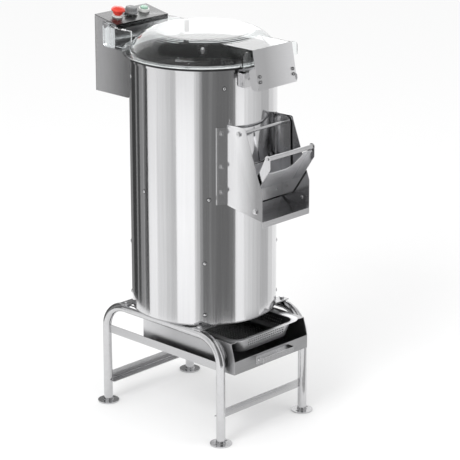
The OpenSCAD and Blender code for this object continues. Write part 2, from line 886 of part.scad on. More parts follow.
module motor_shaft() {
    color("silver") translate([0, drive_pitch, motor_plate_z - motor_len/2 + motor_gap])
        cylinder(r = motor_shaft_d/2, h = pulley_z + pulley_w - motor_plate_z + motor_len/2 - motor_gap);
}

// Chute

// Height of the chute floor's top face at a distance y from the drum's axis.
function chute_floor_z(y) = chute_low_z + (chute_front + y)*tan(chute_slope);

chute_top_reach = 15;
chute_top_y = rod_y + chute_top_reach;
chute_corner = 9;
chute_back_y = drum_r*0.85;
flange_low_rise = 23;
flange_high_drop = 8;
flange_low = chute_low_z + flange_low_rise;
flange_high = chute_top_z - flange_high_drop;
low_bolt_rise = 36;
high_bolt_drop = 15;
flange_bolt_z = [flange_low + low_bolt_rise, (flange_low + flange_high)/2, flange_high - high_bolt_drop];
bolt_head_d = 10;
bolt_head_t = 3.2;
foot_bolt_in = 24;
foot_bolt_y = -chute_front + foot_bolt_in;
foot_bolt_z = chute_low_z + foot_bolt_in;

module chute_side(side) {
    rake = tan(chute_rake);
    color("silver") scale([side, 1, 1]) difference() {
        union() {
            across(chute_in_x, chute_x) difference() {
                union() {
                    polygon([
                        [-chute_back_y, chute_top_z - chute_t],
                        [-chute_top_y, chute_top_z],
                        [-chute_top_y - chute_corner, chute_top_z - chute_corner],
                        [-chute_front, chute_mid_z],
                        [-chute_front, chute_low_z],
                        [-chute_back_y, chute_floor_z(-chute_back_y)]
                    ]);
                    translate([-chute_top_y, chute_top_z - chute_corner]) circle(r = chute_corner);
                }
                translate([-rod_y, rod_z]) circle(r = rod_d/2);
                translate([foot_bolt_y, foot_bolt_z]) circle(r = rod_d/2);
            }
            intersection() {
                ring(drum_r + seat + chute_t, drum_r + seat, flange_high - flange_low, flange_low);
                block([chute_in_x, -drum_r - cut, flange_low], [chute_x + chute_flange, 0, flange_high]);
            }
        }
        translate([0, 0, chute_low_z - drum_r/2]) cylinder(r = drum_r + seat, h = drum_h/2 + drum_r/2);
        at_flange_bolts() cylinder(r = screw_d/2 + weld, h = drum_r);
    }
}
module chute_left_side() { chute_side(-1); }
module chute_right_side() { chute_side(1); }

flange_bolt_angle = asin((chute_x + chute_flange/2)/drum_r);

module at_flange_bolts() {
    for (z = flange_bolt_z) round_drum(flange_bolt_angle) translate([0, 0, z])
        rotate([0, 90, 0]) translate([0, 0, drum_r]) children();
}

foot_flange_h = 32;
foot_flange_in = 6;
foot_flange_len = 40;

module chute_floor() {
    x = chute_in_x - weld;
    back = -mouth_depth_y;
    color("silver") difference() {
        union() {
            across(-x, x) polygon([
                [-chute_front, chute_low_z], [-chute_back_y, chute_floor_z(-chute_back_y)],
                [-chute_back_y, chute_floor_z(-chute_back_y) - chute_t],
                [-chute_front, chute_low_z - chute_t]
            ]);
            block([-x, -chute_front - chute_t, chute_low_z - chute_lip - chute_t],
                  [x, -chute_front, chute_low_z]);
            mirrored() across(x - chute_t, x) difference() {
                polygon([
                    [-chute_front + foot_flange_in, chute_low_z],
                    [-chute_front + foot_flange_in, chute_low_z + foot_flange_h],
                    [-chute_front + foot_flange_in + foot_flange_len,
                     chute_low_z + foot_flange_h + foot_flange_in],
                    [back, chute_floor_z(back) + foot_flange_in],
                    [back, chute_floor_z(back) - chute_t/2]
                ]);
                translate([foot_bolt_y, foot_bolt_z]) circle(r = rod_d/2);
            }
        }
        translate([0, 0, chute_low_z - drum_r]) cylinder(r = drum_r + seat, h = drum_h/2);
        mouth_prism(seat);
    }
}
mouth_depth_y = drum_r*1.05;

rod_out = 2;
nut_t = 5;

module door_rod() {
    color("silver") translate([-chute_x - rod_out, -rod_y, rod_z]) rotate([0, 90, 0])
        cylinder(r = rod_d/2, h = chute_w + 2*rod_out);
}

module rod_collars() {
    color("gainsboro") mirrored() translate([door_x + seat, -rod_y, rod_z]) rotate([0, 90, 0])
        ring(collar_d/2, rod_d/2, door_side_gap - seat);
}

module chute_bolts() {
    color("gray") mirrored() {
        at_flange_bolts() {
            translate([0, 0, seat]) cylinder(r = screw_d/2, h = chute_t);
            translate([0, 0, chute_t + seat]) cylinder(r = bolt_head_d/2, h = bolt_head_t, $fn = 6);
        }
        translate([chute_x, -rod_y, rod_z]) rotate([0, 90, 0]) ring(bolt_head_d*0.65, rod_d/2, nut_t);
        translate([0, foot_bolt_y, foot_bolt_z]) rotate([0, 90, 0]) {
            translate([0, 0, chute_in_x - chute_t - weld])
                cylinder(r = rod_d/2, h = 2*chute_t + weld + nut_t + cut);
            translate([0, 0, chute_x]) cylinder(r = bolt_head_d*0.65, h = nut_t);
            translate([0, 0, chute_in_x - 2*chute_t - 4*weld])
                cylinder(r = bolt_head_d/2, h = chute_t + 3*weld);
        }
    }
}

// Door

// The door's rear edge and the back of its closing plate at height z.
function door_back_y(z) = door_foot_y + (z - door_foot_z)*tan(door_lean);
// The front face of the door's front panel at height z.
function panel_y(z) = panel_foot_y - (z - panel_foot_z)*tan(panel_lean);

hanger_r = 19;
hanger_drop = 3;
hanger_z = rod_z - hanger_drop;
hub_tuck = 0.5;
side_low_reach = 47;
side_low_y = -drum_r - side_low_reach;
side_low_rise = 8;
side_low_z = mouth_z + side_low_rise;
side_foot_len = 33;
knee_rise = 78.5;
knee_out = 6;
side_step = 20;
side_top_rise = 64;
grip_end_r = grip_d*0.68;

module door_side(side) {
    knee_z = panel_foot_z + knee_rise;
    knee_y = panel_y(knee_z) - side_flange - knee_out;
    color("silver") scale([side, 1, 1]) across(door_in_x, door_x) difference() {
        union() {
            polygon([
                [-rod_y + hanger_r - hub_tuck, hanger_z],
                [door_back_y(door_foot_z + door_plate_h), door_foot_z + door_plate_h],
                [door_back_y(door_foot_z), door_foot_z],
                [side_low_y + side_foot_len, door_foot_z],
                [side_low_y, side_low_z],
                [knee_y, knee_z],
                [grip_y - grip_end_r + hub_tuck, grip_z],
                [grip_y + grip_end_r - hub_tuck, grip_z],
                [panel_y(panel_foot_z + side_top_rise), panel_foot_z + side_top_rise],
                [panel_y(panel_foot_z + side_step), panel_foot_z + side_step],
                [-rod_y - hanger_r - hanger_drop, panel_foot_z + side_step],
                [-rod_y - hanger_r + hub_tuck, hanger_z]
            ]);
            translate([-rod_y, hanger_z]) circle(r = hanger_r);
            translate([grip_y, grip_z]) circle(r = grip_end_r);
        }
        translate([-rod_y, rod_z]) circle(r = rod_hole_d/2);
        translate([grip_y, grip_z]) circle(r = screw_d/2 + weld);
    }
}
module door_left_side() { door_side(-1); }
module door_right_side() { door_side(1); }

plate_screw_share = 0.77;

module at_closing_screws() {
    for (s = [-1, 1]) translate([s*door_in_x*plate_screw_share, 0, door_plate_h*0.2])
        rotate([90, 0, 0]) children();
}

module closing_plate() {
    x = door_in_x - weld;
    color("silver") door_plane() {
        difference() {
            block([-x, -door_t, 0], [x, 0, door_plate_h]);
            at_closing_screws() translate([0, 0, -cut]) cylinder(r = screw_d/2 + weld, h = door_t + 2*cut);
        }
        at_closing_screws() {
            cylinder(r = screw_d/2, h = door_t + weld);
            translate([0, 0, door_t + weld]) cylinder(r = screw_head_d/2, h = screw_head_h);
        }
    }
}

module door_gasket() {
    band = 4*mouth_t;
    color("black") door_plane() difference() {
        block([-mouth_w/2 - mouth_t, 0, 0], [mouth_w/2 + mouth_t, door_gasket_t, door_plate_h - door_t]);
        block([-mouth_w/2 + mouth_t, -cut, band - mouth_t],
              [mouth_w/2 - mouth_t, door_gasket_t + cut, door_plate_h - band]);
    }
}

// The front panel lies in its own plane: +Z up the panel, +Y towards the drum.
module panel_plane() {
    translate([0, panel_foot_y, panel_foot_z]) rotate([panel_lean, 0, 0]) children();
}

module door_panel() {
    x = door_in_x - weld;
    cut_z = panel_up*0.52;
    color("silver") difference() {
        union() {
            panel_plane() difference() {
                block([-x, 0, 0], [x, door_t, panel_up]);
                translate([0, -cut, cut_z]) rotate([-90, 0, 0]) linear_extrude(door_t + 2*cut)
                    scale([1, -1]) {
                        translate([-hand_w/2 + hand_r, 0]) square([hand_w - 2*hand_r, panel_up]);
                        translate([-hand_w/2, hand_r]) square([hand_w, panel_up]);
                        for (s = [-1, 1]) translate([s*(hand_w/2 - hand_r), hand_r]) circle(r = hand_r);
                    }
            }
            across(-x, x) polygon([
                [panel_foot_y, panel_foot_z], [panel_foot_y + door_t, panel_foot_z + door_t],
                [door_back_y(panel_foot_z) - door_t - weld, panel_foot_z + door_t],
                [door_back_y(panel_foot_z) - door_t - weld, panel_foot_z]
            ]);
        }
    }
}

module door_grip() {
    x = door_in_x - weld;
    color("gainsboro") {
        difference() {
            translate([-x, grip_y, grip_z]) rotate([0, 90, 0]) cylinder(r = grip_d/2, h = 2*x);
            mirrored() translate([x - grip_d, grip_y, grip_z]) rotate([0, 90, 0])
                cylinder(r = screw_d/2 + weld, h = grip_d + cut);
        }
        mirrored() translate([x - grip_d, grip_y, grip_z]) rotate([0, 90, 0]) {
            cylinder(r = screw_d/2, h = grip_d + door_t + weld);
            translate([0, 0, grip_d + door_t + 2*weld]) cylinder(r = screw_head_d/2, h = screw_head_h);
        }
    }
}

// Lid

// Points of the dome's outer line from its foot to its flat top.
function dome_line(inset) = [
    for (i = [0:dome_steps])
        let (
            s = i/dome_steps,
            u = pow(cos(90*s), 2/dome_power),
            v = pow(sin(90*s), 2/dome_power)
        )
        [dome_flat_r + (dome_foot_r - inset - dome_flat_r)*u,
         flange_top + (lid_top - inset - flange_top)*v]
];

module dome_solid(inset) {
    rotate_extrude() polygon(concat(
        [[0, lid_z - cut*inset], [dome_foot_r - inset, lid_z - cut*inset]],
        dome_line(inset),
        [[0, lid_top - inset]]
    ));
}

// The clear box in front of the dome, seen from the side.
module visor_outline(inset) {
    top_z = visor_top - inset;
    low_z = lid_z - visor_drop - cut*inset;
    front = tan(plate_lean);
    y_top = -visor_front + plate_t + seat + inset;
    polygon([
        [-dome_flat_r, lid_z - cut*inset],
        [-dome_flat_r, top_z],
        [y_top, top_z],
        [y_top - (top_z - low_z)*front, low_z],
        [-lid_r - 2*weld, low_z],
        [-lid_r - 2*weld, lid_z - cut*inset]
    ]);
}

wing_reach = 31;
wing_h = 37;
wing_r = 13;
wing_back = 10;

// A clear wing on each side of the box, behind the front plate.
module visor_wings() {
    low = visor_top - wing_h - lid_t;
    mirrored() translate([0, -visor_front + wing_back, low]) rotate([90, 0, 0]) linear_extrude(lid_t) {
        translate([visor_x - lid_t/2, 0]) square([wing_reach + lid_t/2, wing_h - wing_r]);
        translate([visor_x - lid_t/2, 0]) square([wing_reach + lid_t/2 - wing_r, wing_h]);
        translate([visor_x + wing_reach - wing_r, wing_h - wing_r]) circle(r = wing_r);
    }
}

module lid_dome() {
    color([0.85, 0.9, 0.95, 0.4]) difference() {
        union() {
            dome_solid(0);
            ring(lid_r, dome_foot_r - lid_t, lid_t, lid_z);
            across(-visor_x, visor_x) visor_outline(0);
            visor_wings();
        }
        dome_solid(lid_t);
        difference() {
            across(-visor_x + lid_t, visor_x - lid_t) visor_outline(lid_t);
            translate([0, 0, lid_z - visor_drop - lid_t])
                ring(lid_r, dome_foot_r - lid_t, visor_drop + 2*lid_t);
        }
    }
}

lug_back_gap = 21;
lug_drop = 8;
lug_rise = 42;
ear_drop = 59;
ear_rise = 9;
ear_reach = 14;
lug_in = case_x + lug_gap;
lug_out = lug_in + lug_w;
lug_back = hinge_y - lug_back_gap;
lug_low = lid_z - lug_drop;
lug_high = lid_z + lug_rise;
ear_low = hinge_z - ear_drop;
ear_top = hinge_z + ear_rise;
ear_back = hinge_y + ear_reach;

module lid_hinge_lugs() {
    color([0.85, 0.9, 0.95, 0.4]) mirrored() difference() {
        union() {
            block([lug_in, dome_flat_r, flange_top + weld], [lug_out, lug_back, lug_high]);
            block([lug_in, dome_flat_r, lug_low], [lug_out, lug_back, lug_high]);
            across(lug_in, lug_in + ear_t) {
                polygon([
                    [lug_back - lug_w, ear_low], [ear_back - ear_r, ear_low], [ear_back, ear_low + ear_r],
                    [ear_back, ear_top], [lug_back - lug_w, ear_top - lug_w]
                ]);
                translate([ear_back - ear_r, ear_low + ear_r]) circle(r = ear_r);
            }
        }
        translate([0, 0, lug_low - cut])
            cylinder(r = lid_r + weld, h = flange_top + weld - lug_low + cut);
        translate([0, 0, lug_low - cut]) cylinder(r = dome_foot_r + weld, h = drum_r);
        translate([lug_in - cut, hinge_y, hinge_z]) rotate([0, 90, 0])
            cylinder(r = pin_d/2 + run_fit, h = lug_w + 2*cut);
    }
}

module lid_hinge_pins() {
    pin_len = case_t + pin_d/2 + lug_gap + ear_t + seat;
    color("gray") mirrored() translate([case_x - case_t - pin_d/2, hinge_y, hinge_z])
        rotate([0, 90, 0]) {
            cylinder(r = pin_d/2, h = pin_len);
            translate([0, 0, pin_len]) cylinder(r = pin_d*0.8, h = pin_d/2);
        }
}

// The plane of the lid's front plate: the origin is its top edge, +Z up, +Y towards the drum.
module plate_plane() {
    translate([0, -visor_front, visor_top + plate_rise]) rotate([-plate_lean, 0, 0]) children();
}

plate_x = visor_x + plate_t;
return_r = 14;
magnet_low = 78;
plate_screw_gap = 7;
plate_screw_z = [plate_screw_gap - magnet_low, -plate_screw_gap - magnet_low];
magnet_w = 18;
magnet_d = 9;
magnet_h = 26;
magnet_in = 10;
magnet_x = visor_x - magnet_in;
return_step = 8;
plate_rise = 1;

module at_plate_screws() {
    for (s = [-1, 1]) for (z = plate_screw_z)
        translate([s*magnet_x, 0, z]) rotate([90, 0, 0]) children();
}

module lid_front_plate() {
    h = plate_h;
    color("lightgray") plate_plane() difference() {
        union() {
            block([-plate_x, 0, -h], [plate_x, plate_t, 0]);
            mirrored() across(plate_x - plate_t, plate_x) {
                polygon([
                    [0, -h], [return_d - return_r, -h], [return_d, return_r - h],
                    [return_d, return_h - h - return_step], [plate_t, return_h - h], [0, return_h - h]
                ]);
                translate([return_d - return_r, return_r - h]) circle(r = return_r);
            }
        }
        at_plate_screws() translate([0, 0, -plate_t - cut])
            cylinder(r = screw_d/2 + weld, h = plate_t + 2*cut);
    }
}

module lid_magnets() {
    color("dimgray") plate_plane() for (s = [-1, 1]) {
        block([s*magnet_x - magnet_w/2, plate_t + weld, -magnet_low - magnet_h/2],
              [s*magnet_x + magnet_w/2, plate_t + weld + magnet_d, -magnet_low + magnet_h/2]);
        for (z = plate_screw_z) translate([s*magnet_x, plate_t + 2*weld, z]) rotate([90, 0, 0]) {
            cylinder(r = screw_d/2, h = plate_t + 3*weld);
            translate([0, 0, plate_t + 3*weld]) cylinder(r = screw_head_d/2, h = screw_head_h);
        }
    }
}

bracket_sheet = 2;
sensor_x = -44;
sensor_w = 40;
sensor_h = 38;
sensor_reach = 13;
sensor_drop = 2;
sensor_y = -drum_r - sensor_reach;
sensor_top = drum_top - bead_h - sensor_drop;

module at_sensor_screw() {
    translate([sensor_x, sensor_y + bracket_sheet, sensor_top - sensor_h*0.45])
        rotate([90, 0, 0]) children();
}

module sensor_bracket() {
    x0 = sensor_x - sensor_w/2;
    x1 = sensor_x + sensor_w/2;
    z0 = sensor_top - sensor_h;
    color("silver") difference() {
        union() {
            block([x0, sensor_y, z0], [x1, sensor_y + bracket_sheet, sensor_top]);
            for (x = [x0, x1 - bracket_sheet])
                block([x, sensor_y, z0], [x + bracket_sheet, -drum_r/2, sensor_top]);
        }
        translate([0, 0, z0 - cut]) cylinder(r = drum_r + seat, h = sensor_h + 2*cut);
        at_sensor_screw() translate([0, 0, -cut]) cylinder(r = screw_d/2 + weld, h = bracket_sheet + 2*cut);
    }
}

// Control box

case_nose_in = 7;
case_notch_y = 33;
case_notch_z = 78;
case_floor_y = drum_r - case_nose_in;

// The plane of the control panel: the origin is its front edge, +Z out of the panel.
module control_plane() {
    translate([0, case_front, panel_z]) rotate([panel_slope, 0, 0]) children();
}

module case_side_outline() {
    back = case_back - case_t - weld;
    top = panel_z - case_t/cos(panel_slope) - weld;
    polygon([
        [back, case_z], [case_floor_y, case_z], [case_floor_y - case_notch_y, case_z + case_notch_z],
        [case_floor_y - case_notch_y, shelf_z], [case_front, shelf_z],
        [case_front, top], [back, top + (back - case_front)*tan(panel_slope)]
    ]);
}

// The box is welded from plates, so each plate is a solid of its own with a weld's gap between them.
module control_case() {
    back = case_back - case_t - weld;
    top = panel_z - case_t/cos(panel_slope) - weld;
    inner_x = case_x - case_t - weld;
    color("silver") difference() {
        union() {
            mirrored() across(case_x - case_t, case_x) case_side_outline();
            block([-inner_x, case_floor_y + 2*case_t + weld, case_z], [inner_x, back, case_z + case_t]);
            across(-inner_x, inner_x) polygon([
                [case_floor_y, case_z], [case_floor_y - case_notch_y, case_z + case_notch_z],
                [case_floor_y - case_notch_y + 2*case_t, case_z + case_notch_z],
                [case_floor_y + 2*case_t, case_z]
            ]);
            block([-inner_x, case_front, shelf_z - case_t], [inner_x, case_front + case_t, top]);
            block([-inner_x, drum_r/2, shelf_z - case_t], [inner_x, case_front - weld, shelf_z]);
        }
        translate([0, 0, case_z - cut]) cylinder(r = drum_r + seat, h = panel_z - case_z);
        mirrored() translate([case_x - case_t - cut, hinge_y, hinge_z]) rotate([0, 90, 0])
            cylinder(r = pin_d/2, h = case_t + 2*cut);
        translate([gland_x, gland_y, case_z - cut])
            cylinder(r = gland_thread_d/2 + weld, h = case_t + 2*cut);
    }
}

panel_lip = 14;
stop_stem_d = 16;
knob_stem_d = 6;

module control_panel() {
    color("silver") control_plane() difference() {
        union() {
            block([-case_x, -case_t - seat, -case_t], [case_x, panel_len, 0]);
            rotate([-panel_slope, 0, 0])
                block([-case_x, -case_t - seat, -panel_lip], [case_x, -seat, -case_t*0.8]);
        }
        translate([-control_pitch, controls_y, -case_t - cut])
            cylinder(r = stop_stem_d/2 + 2*weld, h = case_t + 2*cut);
        translate([0, controls_y, -case_t - cut])
            cylinder(r = knob_stem_d/2 + 2*weld, h = case_t + 2*cut);
        translate([control_pitch, controls_y, -case_t - cut])
            cylinder(r = start_d/2 + 2*weld, h = case_t + 2*cut);
    }
}

cover_screw_in = 12;
cover_screw_rise = 22;

module at_cover_screws() {
    for (sx = [-1, 1]) for (z = [case_z + cover_screw_rise, panel_z - cover_screw_rise])
        translate([sx*(case_x - cover_screw_in), case_back - case_t, z]) rotate([-90, 0, 0]) children();
}

module rear_cover() {
    color("silver") difference() {
        block([-case_x, case_back - case_t, case_z],
              [case_x, case_back, panel_z + (case_back - case_front)*tan(panel_slope) - 2*case_t]);
        at_cover_screws() translate([0, 0, -cut]) cylinder(r = screw_d/2 + weld, h = case_t + 2*cut);
    }
}

stop_collar_h = 4;
start_collar_h = 8;
collar_r = 15;
stop_gap = 4.5;
stop_skirt_h = 12.5;
stop_head_h = 12;
stem_in = 12;

// Heights in the two buttons and the knob are counted from the panel's face.
module stop_button() {
    r = stop_d/2;
    foot = stop_collar_h + stop_gap;
    rim = foot + stop_skirt_h;
    color("red") control_plane() translate([-control_pitch, controls_y, 0]) rotate_extrude() polygon([
        [0, -stem_in], [stop_stem_d/2, -stem_in], [stop_stem_d/2, foot], [r*0.72, foot],
        [r*0.72, rim - stop_gap], [r*0.86, rim - stop_gap/2], [r, rim], [r, rim + stop_head_h*0.3],
        [r*0.93, rim + stop_head_h*0.6], [r*0.7, rim + stop_head_h*0.85],
        [r*0.35, rim + stop_head_h*0.97], [0, rim + stop_head_h]
    ]);
}

grip_count = 16;
grip_cut = 2;
knob_foot = 3;
knob_skirt_h = 6;
knob_h = 19.5;

module timer_knob() {
    r = knob_d/2;
    color("dimgray") control_plane() translate([0, controls_y, 0]) difference() {
        rotate_extrude() polygon([
            [0, -stem_in], [knob_stem_d/2, -stem_in], [knob_stem_d/2, knob_foot], [r, knob_foot],
            [r, knob_skirt_h], [r*0.84, knob_skirt_h*1.5], [r*0.84, knob_h - grip_cut],
            [r*0.76, knob_h], [0, knob_h]
        ]);
        for (i = [0:grip_count - 1]) rotate([0, 0, i*360/grip_count])
            translate([r*0.84 + grip_cut*0.5, 0, knob_h*0.5]) cylinder(r = grip_cut, h = knob_d);
    }
}

start_up = 6;

module start_button() {
    r = start_d/2;
    color([0.8, 0.95, 0.85, 0.6]) control_plane() translate([control_pitch, controls_y, 0])
        rotate_extrude() polygon([
            [0, -stem_in], [r, -stem_in], [r, start_collar_h + start_up],
            [r*0.92, start_collar_h + start_up*1.1], [0, start_collar_h + start_up*1.1]
        ]);
}

module control_collars() {
    color("gainsboro") control_plane() {
        translate([-control_pitch, controls_y, 0]) ring(collar_r, stop_stem_d/2 + 2*weld, stop_collar_h);
        translate([0, controls_y, 0]) ring(knob_d*0.3, knob_stem_d/2 + 2*weld, knob_foot/2);
        translate([control_pitch, controls_y, 0]) ring(collar_r, start_d/2 + 2*weld, start_collar_h);
    }
}

gland_x = 56;
gland_in = 44;
gland_y = case_back - gland_in;
gland_thread_d = 20;
gland_hex_d = 27;
gland_len = 24;
gland_nut_t = 5;

module cable_gland() {
    color("dimgray") translate([gland_x, gland_y, case_z]) difference() {
        union() {
            translate([0, 0, -gland_nut_t - weld])
                cylinder(r = gland_hex_d/2, h = gland_nut_t, $fn = 6);
            translate([0, 0, -gland_len])
                cylinder(r = gland_thread_d/2, h = gland_len + case_t + gland_nut_t);
            translate([0, 0, case_t + weld]) cylinder(r = gland_hex_d/2, h = gland_nut_t, $fn = 6);
        }
        translate([0, 0, -gland_len - cut]) cylinder(r = gland_bore_d/2, h = 2*gland_len);
    }
}

left_frame();
right_frame();
left_side_rail();
right_side_rail();
front_lower_bar();
rear_lower_bar();
foot_flanges();
stand_brackets();
stand_bolts();
drawer_tray();
drawer_handle();
drawer_screws();
filter_pan();
drum_shell();
base_plate();
drum_floor();
abrasive_lining();
rim_gasket();
pan_head_screws();
mouth_frame();
drain_pipe();
water_inlet();
abrasive_disc();
disc_cap();
disc_shaft();
bearing_housing();
shaft_bearings();
shaft_seal();
driven_pulley();
motor_plate();
motor_body();
motor_shaft();
motor_pulley();
drive_belt();
chute_left_side();
chute_right_side();
chute_floor();
door_rod();
rod_collars();
chute_bolts();
door_left_side();
door_right_side();
closing_plate();
door_panel();
door_grip();
door_gasket();
lid_dome();
lid_hinge_lugs();
lid_hinge_pins();
lid_front_plate();
lid_magnets();
sensor_bracket();
control_case();
control_panel();
rear_cover();
stop_button();
timer_knob();
start_button();
control_collars();
cable_gland();
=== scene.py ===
# %% [markdown]
# # Electric potato peeler
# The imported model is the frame: every CAD node keeps its place, and this script gives it a finish,
# adds the small things that CAD leaves out, and lights it like the photograph. The frame is in metres:
# the drum stands on the Z axis, the chute and the drawer face -Y, and the control box is at +Y.

# %% Load the frame
import json
import math
import bpy
from mathutils import Matrix, Vector

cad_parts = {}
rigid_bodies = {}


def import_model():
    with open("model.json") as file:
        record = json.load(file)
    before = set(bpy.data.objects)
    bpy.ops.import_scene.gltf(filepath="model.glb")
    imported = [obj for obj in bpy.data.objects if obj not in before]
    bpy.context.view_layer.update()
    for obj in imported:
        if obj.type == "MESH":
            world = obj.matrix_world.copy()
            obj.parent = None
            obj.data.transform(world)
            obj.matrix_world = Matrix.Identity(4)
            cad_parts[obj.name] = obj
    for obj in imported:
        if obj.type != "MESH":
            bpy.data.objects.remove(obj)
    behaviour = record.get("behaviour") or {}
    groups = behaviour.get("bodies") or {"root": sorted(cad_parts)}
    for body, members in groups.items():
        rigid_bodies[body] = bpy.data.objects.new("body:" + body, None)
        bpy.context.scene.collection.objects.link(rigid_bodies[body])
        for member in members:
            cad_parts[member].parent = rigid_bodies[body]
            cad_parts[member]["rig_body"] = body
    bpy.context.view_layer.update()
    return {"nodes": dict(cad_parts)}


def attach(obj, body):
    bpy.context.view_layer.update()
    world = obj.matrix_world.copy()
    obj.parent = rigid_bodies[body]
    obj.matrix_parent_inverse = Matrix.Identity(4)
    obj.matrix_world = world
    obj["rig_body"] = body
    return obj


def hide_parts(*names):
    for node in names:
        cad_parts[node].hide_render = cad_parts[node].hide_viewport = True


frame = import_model()
nodes = frame["nodes"]

# %% [markdown]
# ## Camera
# The camera's place was found by fitting measured points of the photograph. It stands at the front
# left, above the lid, and looks 18 degrees down through a long lens, so that the drum's sides stay
# nearly parallel. A look direction is turned into the camera's rotation, which is easier to read than
# three angles.

# %% Camera
yaw = math.radians(46.238)
pitch = math.radians(18.113)
ahead = Vector((math.sin(yaw) * math.cos(pitch), math.cos(yaw) * math.cos(pitch), -math.sin(pitch)))
cam = bpy.data.objects.new("camera", bpy.data.cameras.new("camera"))
bpy.context.scene.collection.objects.link(cam)
cam.location = (-3.9586, -3.8904, 2.3363)  # metres
cam.rotation_euler = ahead.to_track_quat("-Z", "Y").to_euler()
cam.data.lens = 165.88  # mm
cam.data.sensor_width = 36  # mm
bpy.context.scene.camera = cam
print("camera", tuple(round(v, 3) for v in cam.location))

# %% [markdown]
# ## Shared effects
# Nearly all of this machine is brushed stainless steel, so one node group makes it for every steel
# material. Noise that is stretched along the grain varies the colour, the roughness and the height,
# a larger noise adds soft stains, and a painted shade lets one sheet grow darker or lighter along a
# direction, in place of the light and shade that falls on it. Image textures could do the same, but
# nodes follow each piece at any size. A second group makes grit.

# %% Node groups
def new_group(name, outputs, inputs=()):
    group = bpy.data.node_groups.new(name, "ShaderNodeTree")
    for label, kind, value in inputs:
        group.interface.new_socket(name=label, in_out="INPUT", socket_type=kind).default_value = value
    for label, kind in outputs:
        group.interface.new_socket(name=label, in_out="OUTPUT", socket_type=kind)
    return group, group.nodes.new("NodeGroupInput"), group.nodes.new("NodeGroupOutput")


def calculate(tree, operation, *inputs, clamp=False):
    """The output of a Math node whose inputs are numbers or other nodes' outputs."""
    node = tree.nodes.new("ShaderNodeMath")
    node.operation = operation
    node.use_clamp = clamp
    for socket, value in zip(node.inputs, inputs):
        if isinstance(value, bpy.types.NodeSocket):
            tree.links.new(value, socket)
        else:
            socket.default_value = value
    return node.outputs[0]


def combine(tree, operation, first, second):
    node = tree.nodes.new("ShaderNodeVectorMath")
    node.operation = operation
    tree.links.new(first, node.inputs[0])
    tree.links.new(second, node.inputs[1])
    return node


def noise(tree, place, scale, detail=2.0):
    node = tree.nodes.new("ShaderNodeTexNoise")
    node.inputs["Scale"].default_value = scale
    node.inputs["Detail"].default_value = detail
    tree.links.new(place, node.inputs["Vector"])
    return node.outputs["Fac"]


def brushed_group():
    grain_tone, stain_tone, grain_rough, cool_tint = 0.12, 0.06, 0.14, 1.015
    group, put, out = new_group(
        "brushed_metal",
        (("Color", "NodeSocketColor"), ("Roughness", "NodeSocketFloat"), ("Height", "NodeSocketFloat")),
        (("Grain", "NodeSocketVector", (1, 1, 1)), ("Light", "NodeSocketFloat", 0.7),
         ("Rough", "NodeSocketFloat", 0.3), ("Fade", "NodeSocketVector", (0, 0, 0)),
         ("Painted Shade Start", "NodeSocketFloat", 0), ("Painted Shade Change", "NodeSocketFloat", 0)))
    place = group.nodes.new("ShaderNodeTexCoord").outputs["Object"]
    grain = noise(group, combine(group, "MULTIPLY", place, put.outputs["Grain"]).outputs[0], 1.0, 3)
    stain = noise(group, place, 7)
    tone = calculate(group, "MULTIPLY_ADD", grain, grain_tone, put.outputs["Light"])
    tone = calculate(group, "MULTIPLY_ADD", stain, stain_tone, tone)
    # Painted shade: along one direction the tone grows darker or lighter, standing in for light and shade.
    along = combine(group, "DOT_PRODUCT", place, put.outputs["Fade"]).outputs["Value"]
    shade_reach = calculate(group, "SUBTRACT", along, put.outputs["Painted Shade Start"], clamp=True)
    painted_shade_factor = calculate(group, "MULTIPLY_ADD", shade_reach, put.outputs["Painted Shade Change"], 1.0)
    tone = calculate(group, "MULTIPLY", tone, painted_shade_factor)
    color = group.nodes.new("ShaderNodeCombineColor")
    for socket in ("Red", "Green"):
        group.links.new(tone, color.inputs[socket])
    group.links.new(calculate(group, "MULTIPLY", tone, cool_tint), color.inputs["Blue"])
    group.links.new(color.outputs[0], out.inputs["Color"])
    group.links.new(calculate(group, "MULTIPLY_ADD", grain, grain_rough, put.outputs["Rough"]),
                    out.inputs["Roughness"])
    group.links.new(grain, out.inputs["Height"])
    return group


def grit_group():
    grains_per_metre, grain_edge = 110, 0.32
    group, put, out = new_group("grit", (("Color", "NodeSocketColor"), ("Height", "NodeSocketFloat")))
    place = group.nodes.new("ShaderNodeTexCoord")
    cells = group.nodes.new("ShaderNodeTexVoronoi")
    cells.inputs["Scale"].default_value = grains_per_metre
    group.links.new(place.outputs["Object"], cells.inputs["Vector"])
    ramp = group.nodes.new("ShaderNodeValToRGB")
    grain, gap = ramp.color_ramp.elements
    grain.color = (0.2, 0.2, 0.205, 1)
    gap.color = (0.006, 0.006, 0.006, 1)
    gap.position = grain_edge
    group.links.new(cells.outputs["Distance"], ramp.inputs["Fac"])
    group.links.new(ramp.outputs["Color"], out.inputs["Color"])
    group.links.new(cells.outputs["Distance"], out.inputs["Height"])
    return group


brushed = brushed_group()
grit = grit_group()
print("groups", [g.name for g in bpy.data.node_groups])

# %% [markdown]
# ## Materials
# Sheet steel is brushed along its length, the tubes are smoother, and the plastic, rubber and clear
# pieces have a small change of roughness. The steels differ mostly in how light and how rough they
# are, so each is one line with its own grain: numbers of streaks per metre along X, Y and Z, small
# along the brushing. Some steels are darker copies, or grow darker or lighter along a direction, as
# painted shade; each is marked where it is made.

# %% Materials
def base(name):
    mat = bpy.data.materials.new(name)
    mat.use_nodes = True
    return mat, mat.node_tree, mat.node_tree.nodes["Principled BSDF"]


def raise_surface(tree, bsdf, height, distance):
    lift = tree.nodes.new("ShaderNodeBump")
    lift.inputs["Distance"].default_value = distance
    tree.links.new(height, lift.inputs["Height"])
    tree.links.new(lift.outputs["Normal"], bsdf.inputs["Normal"])


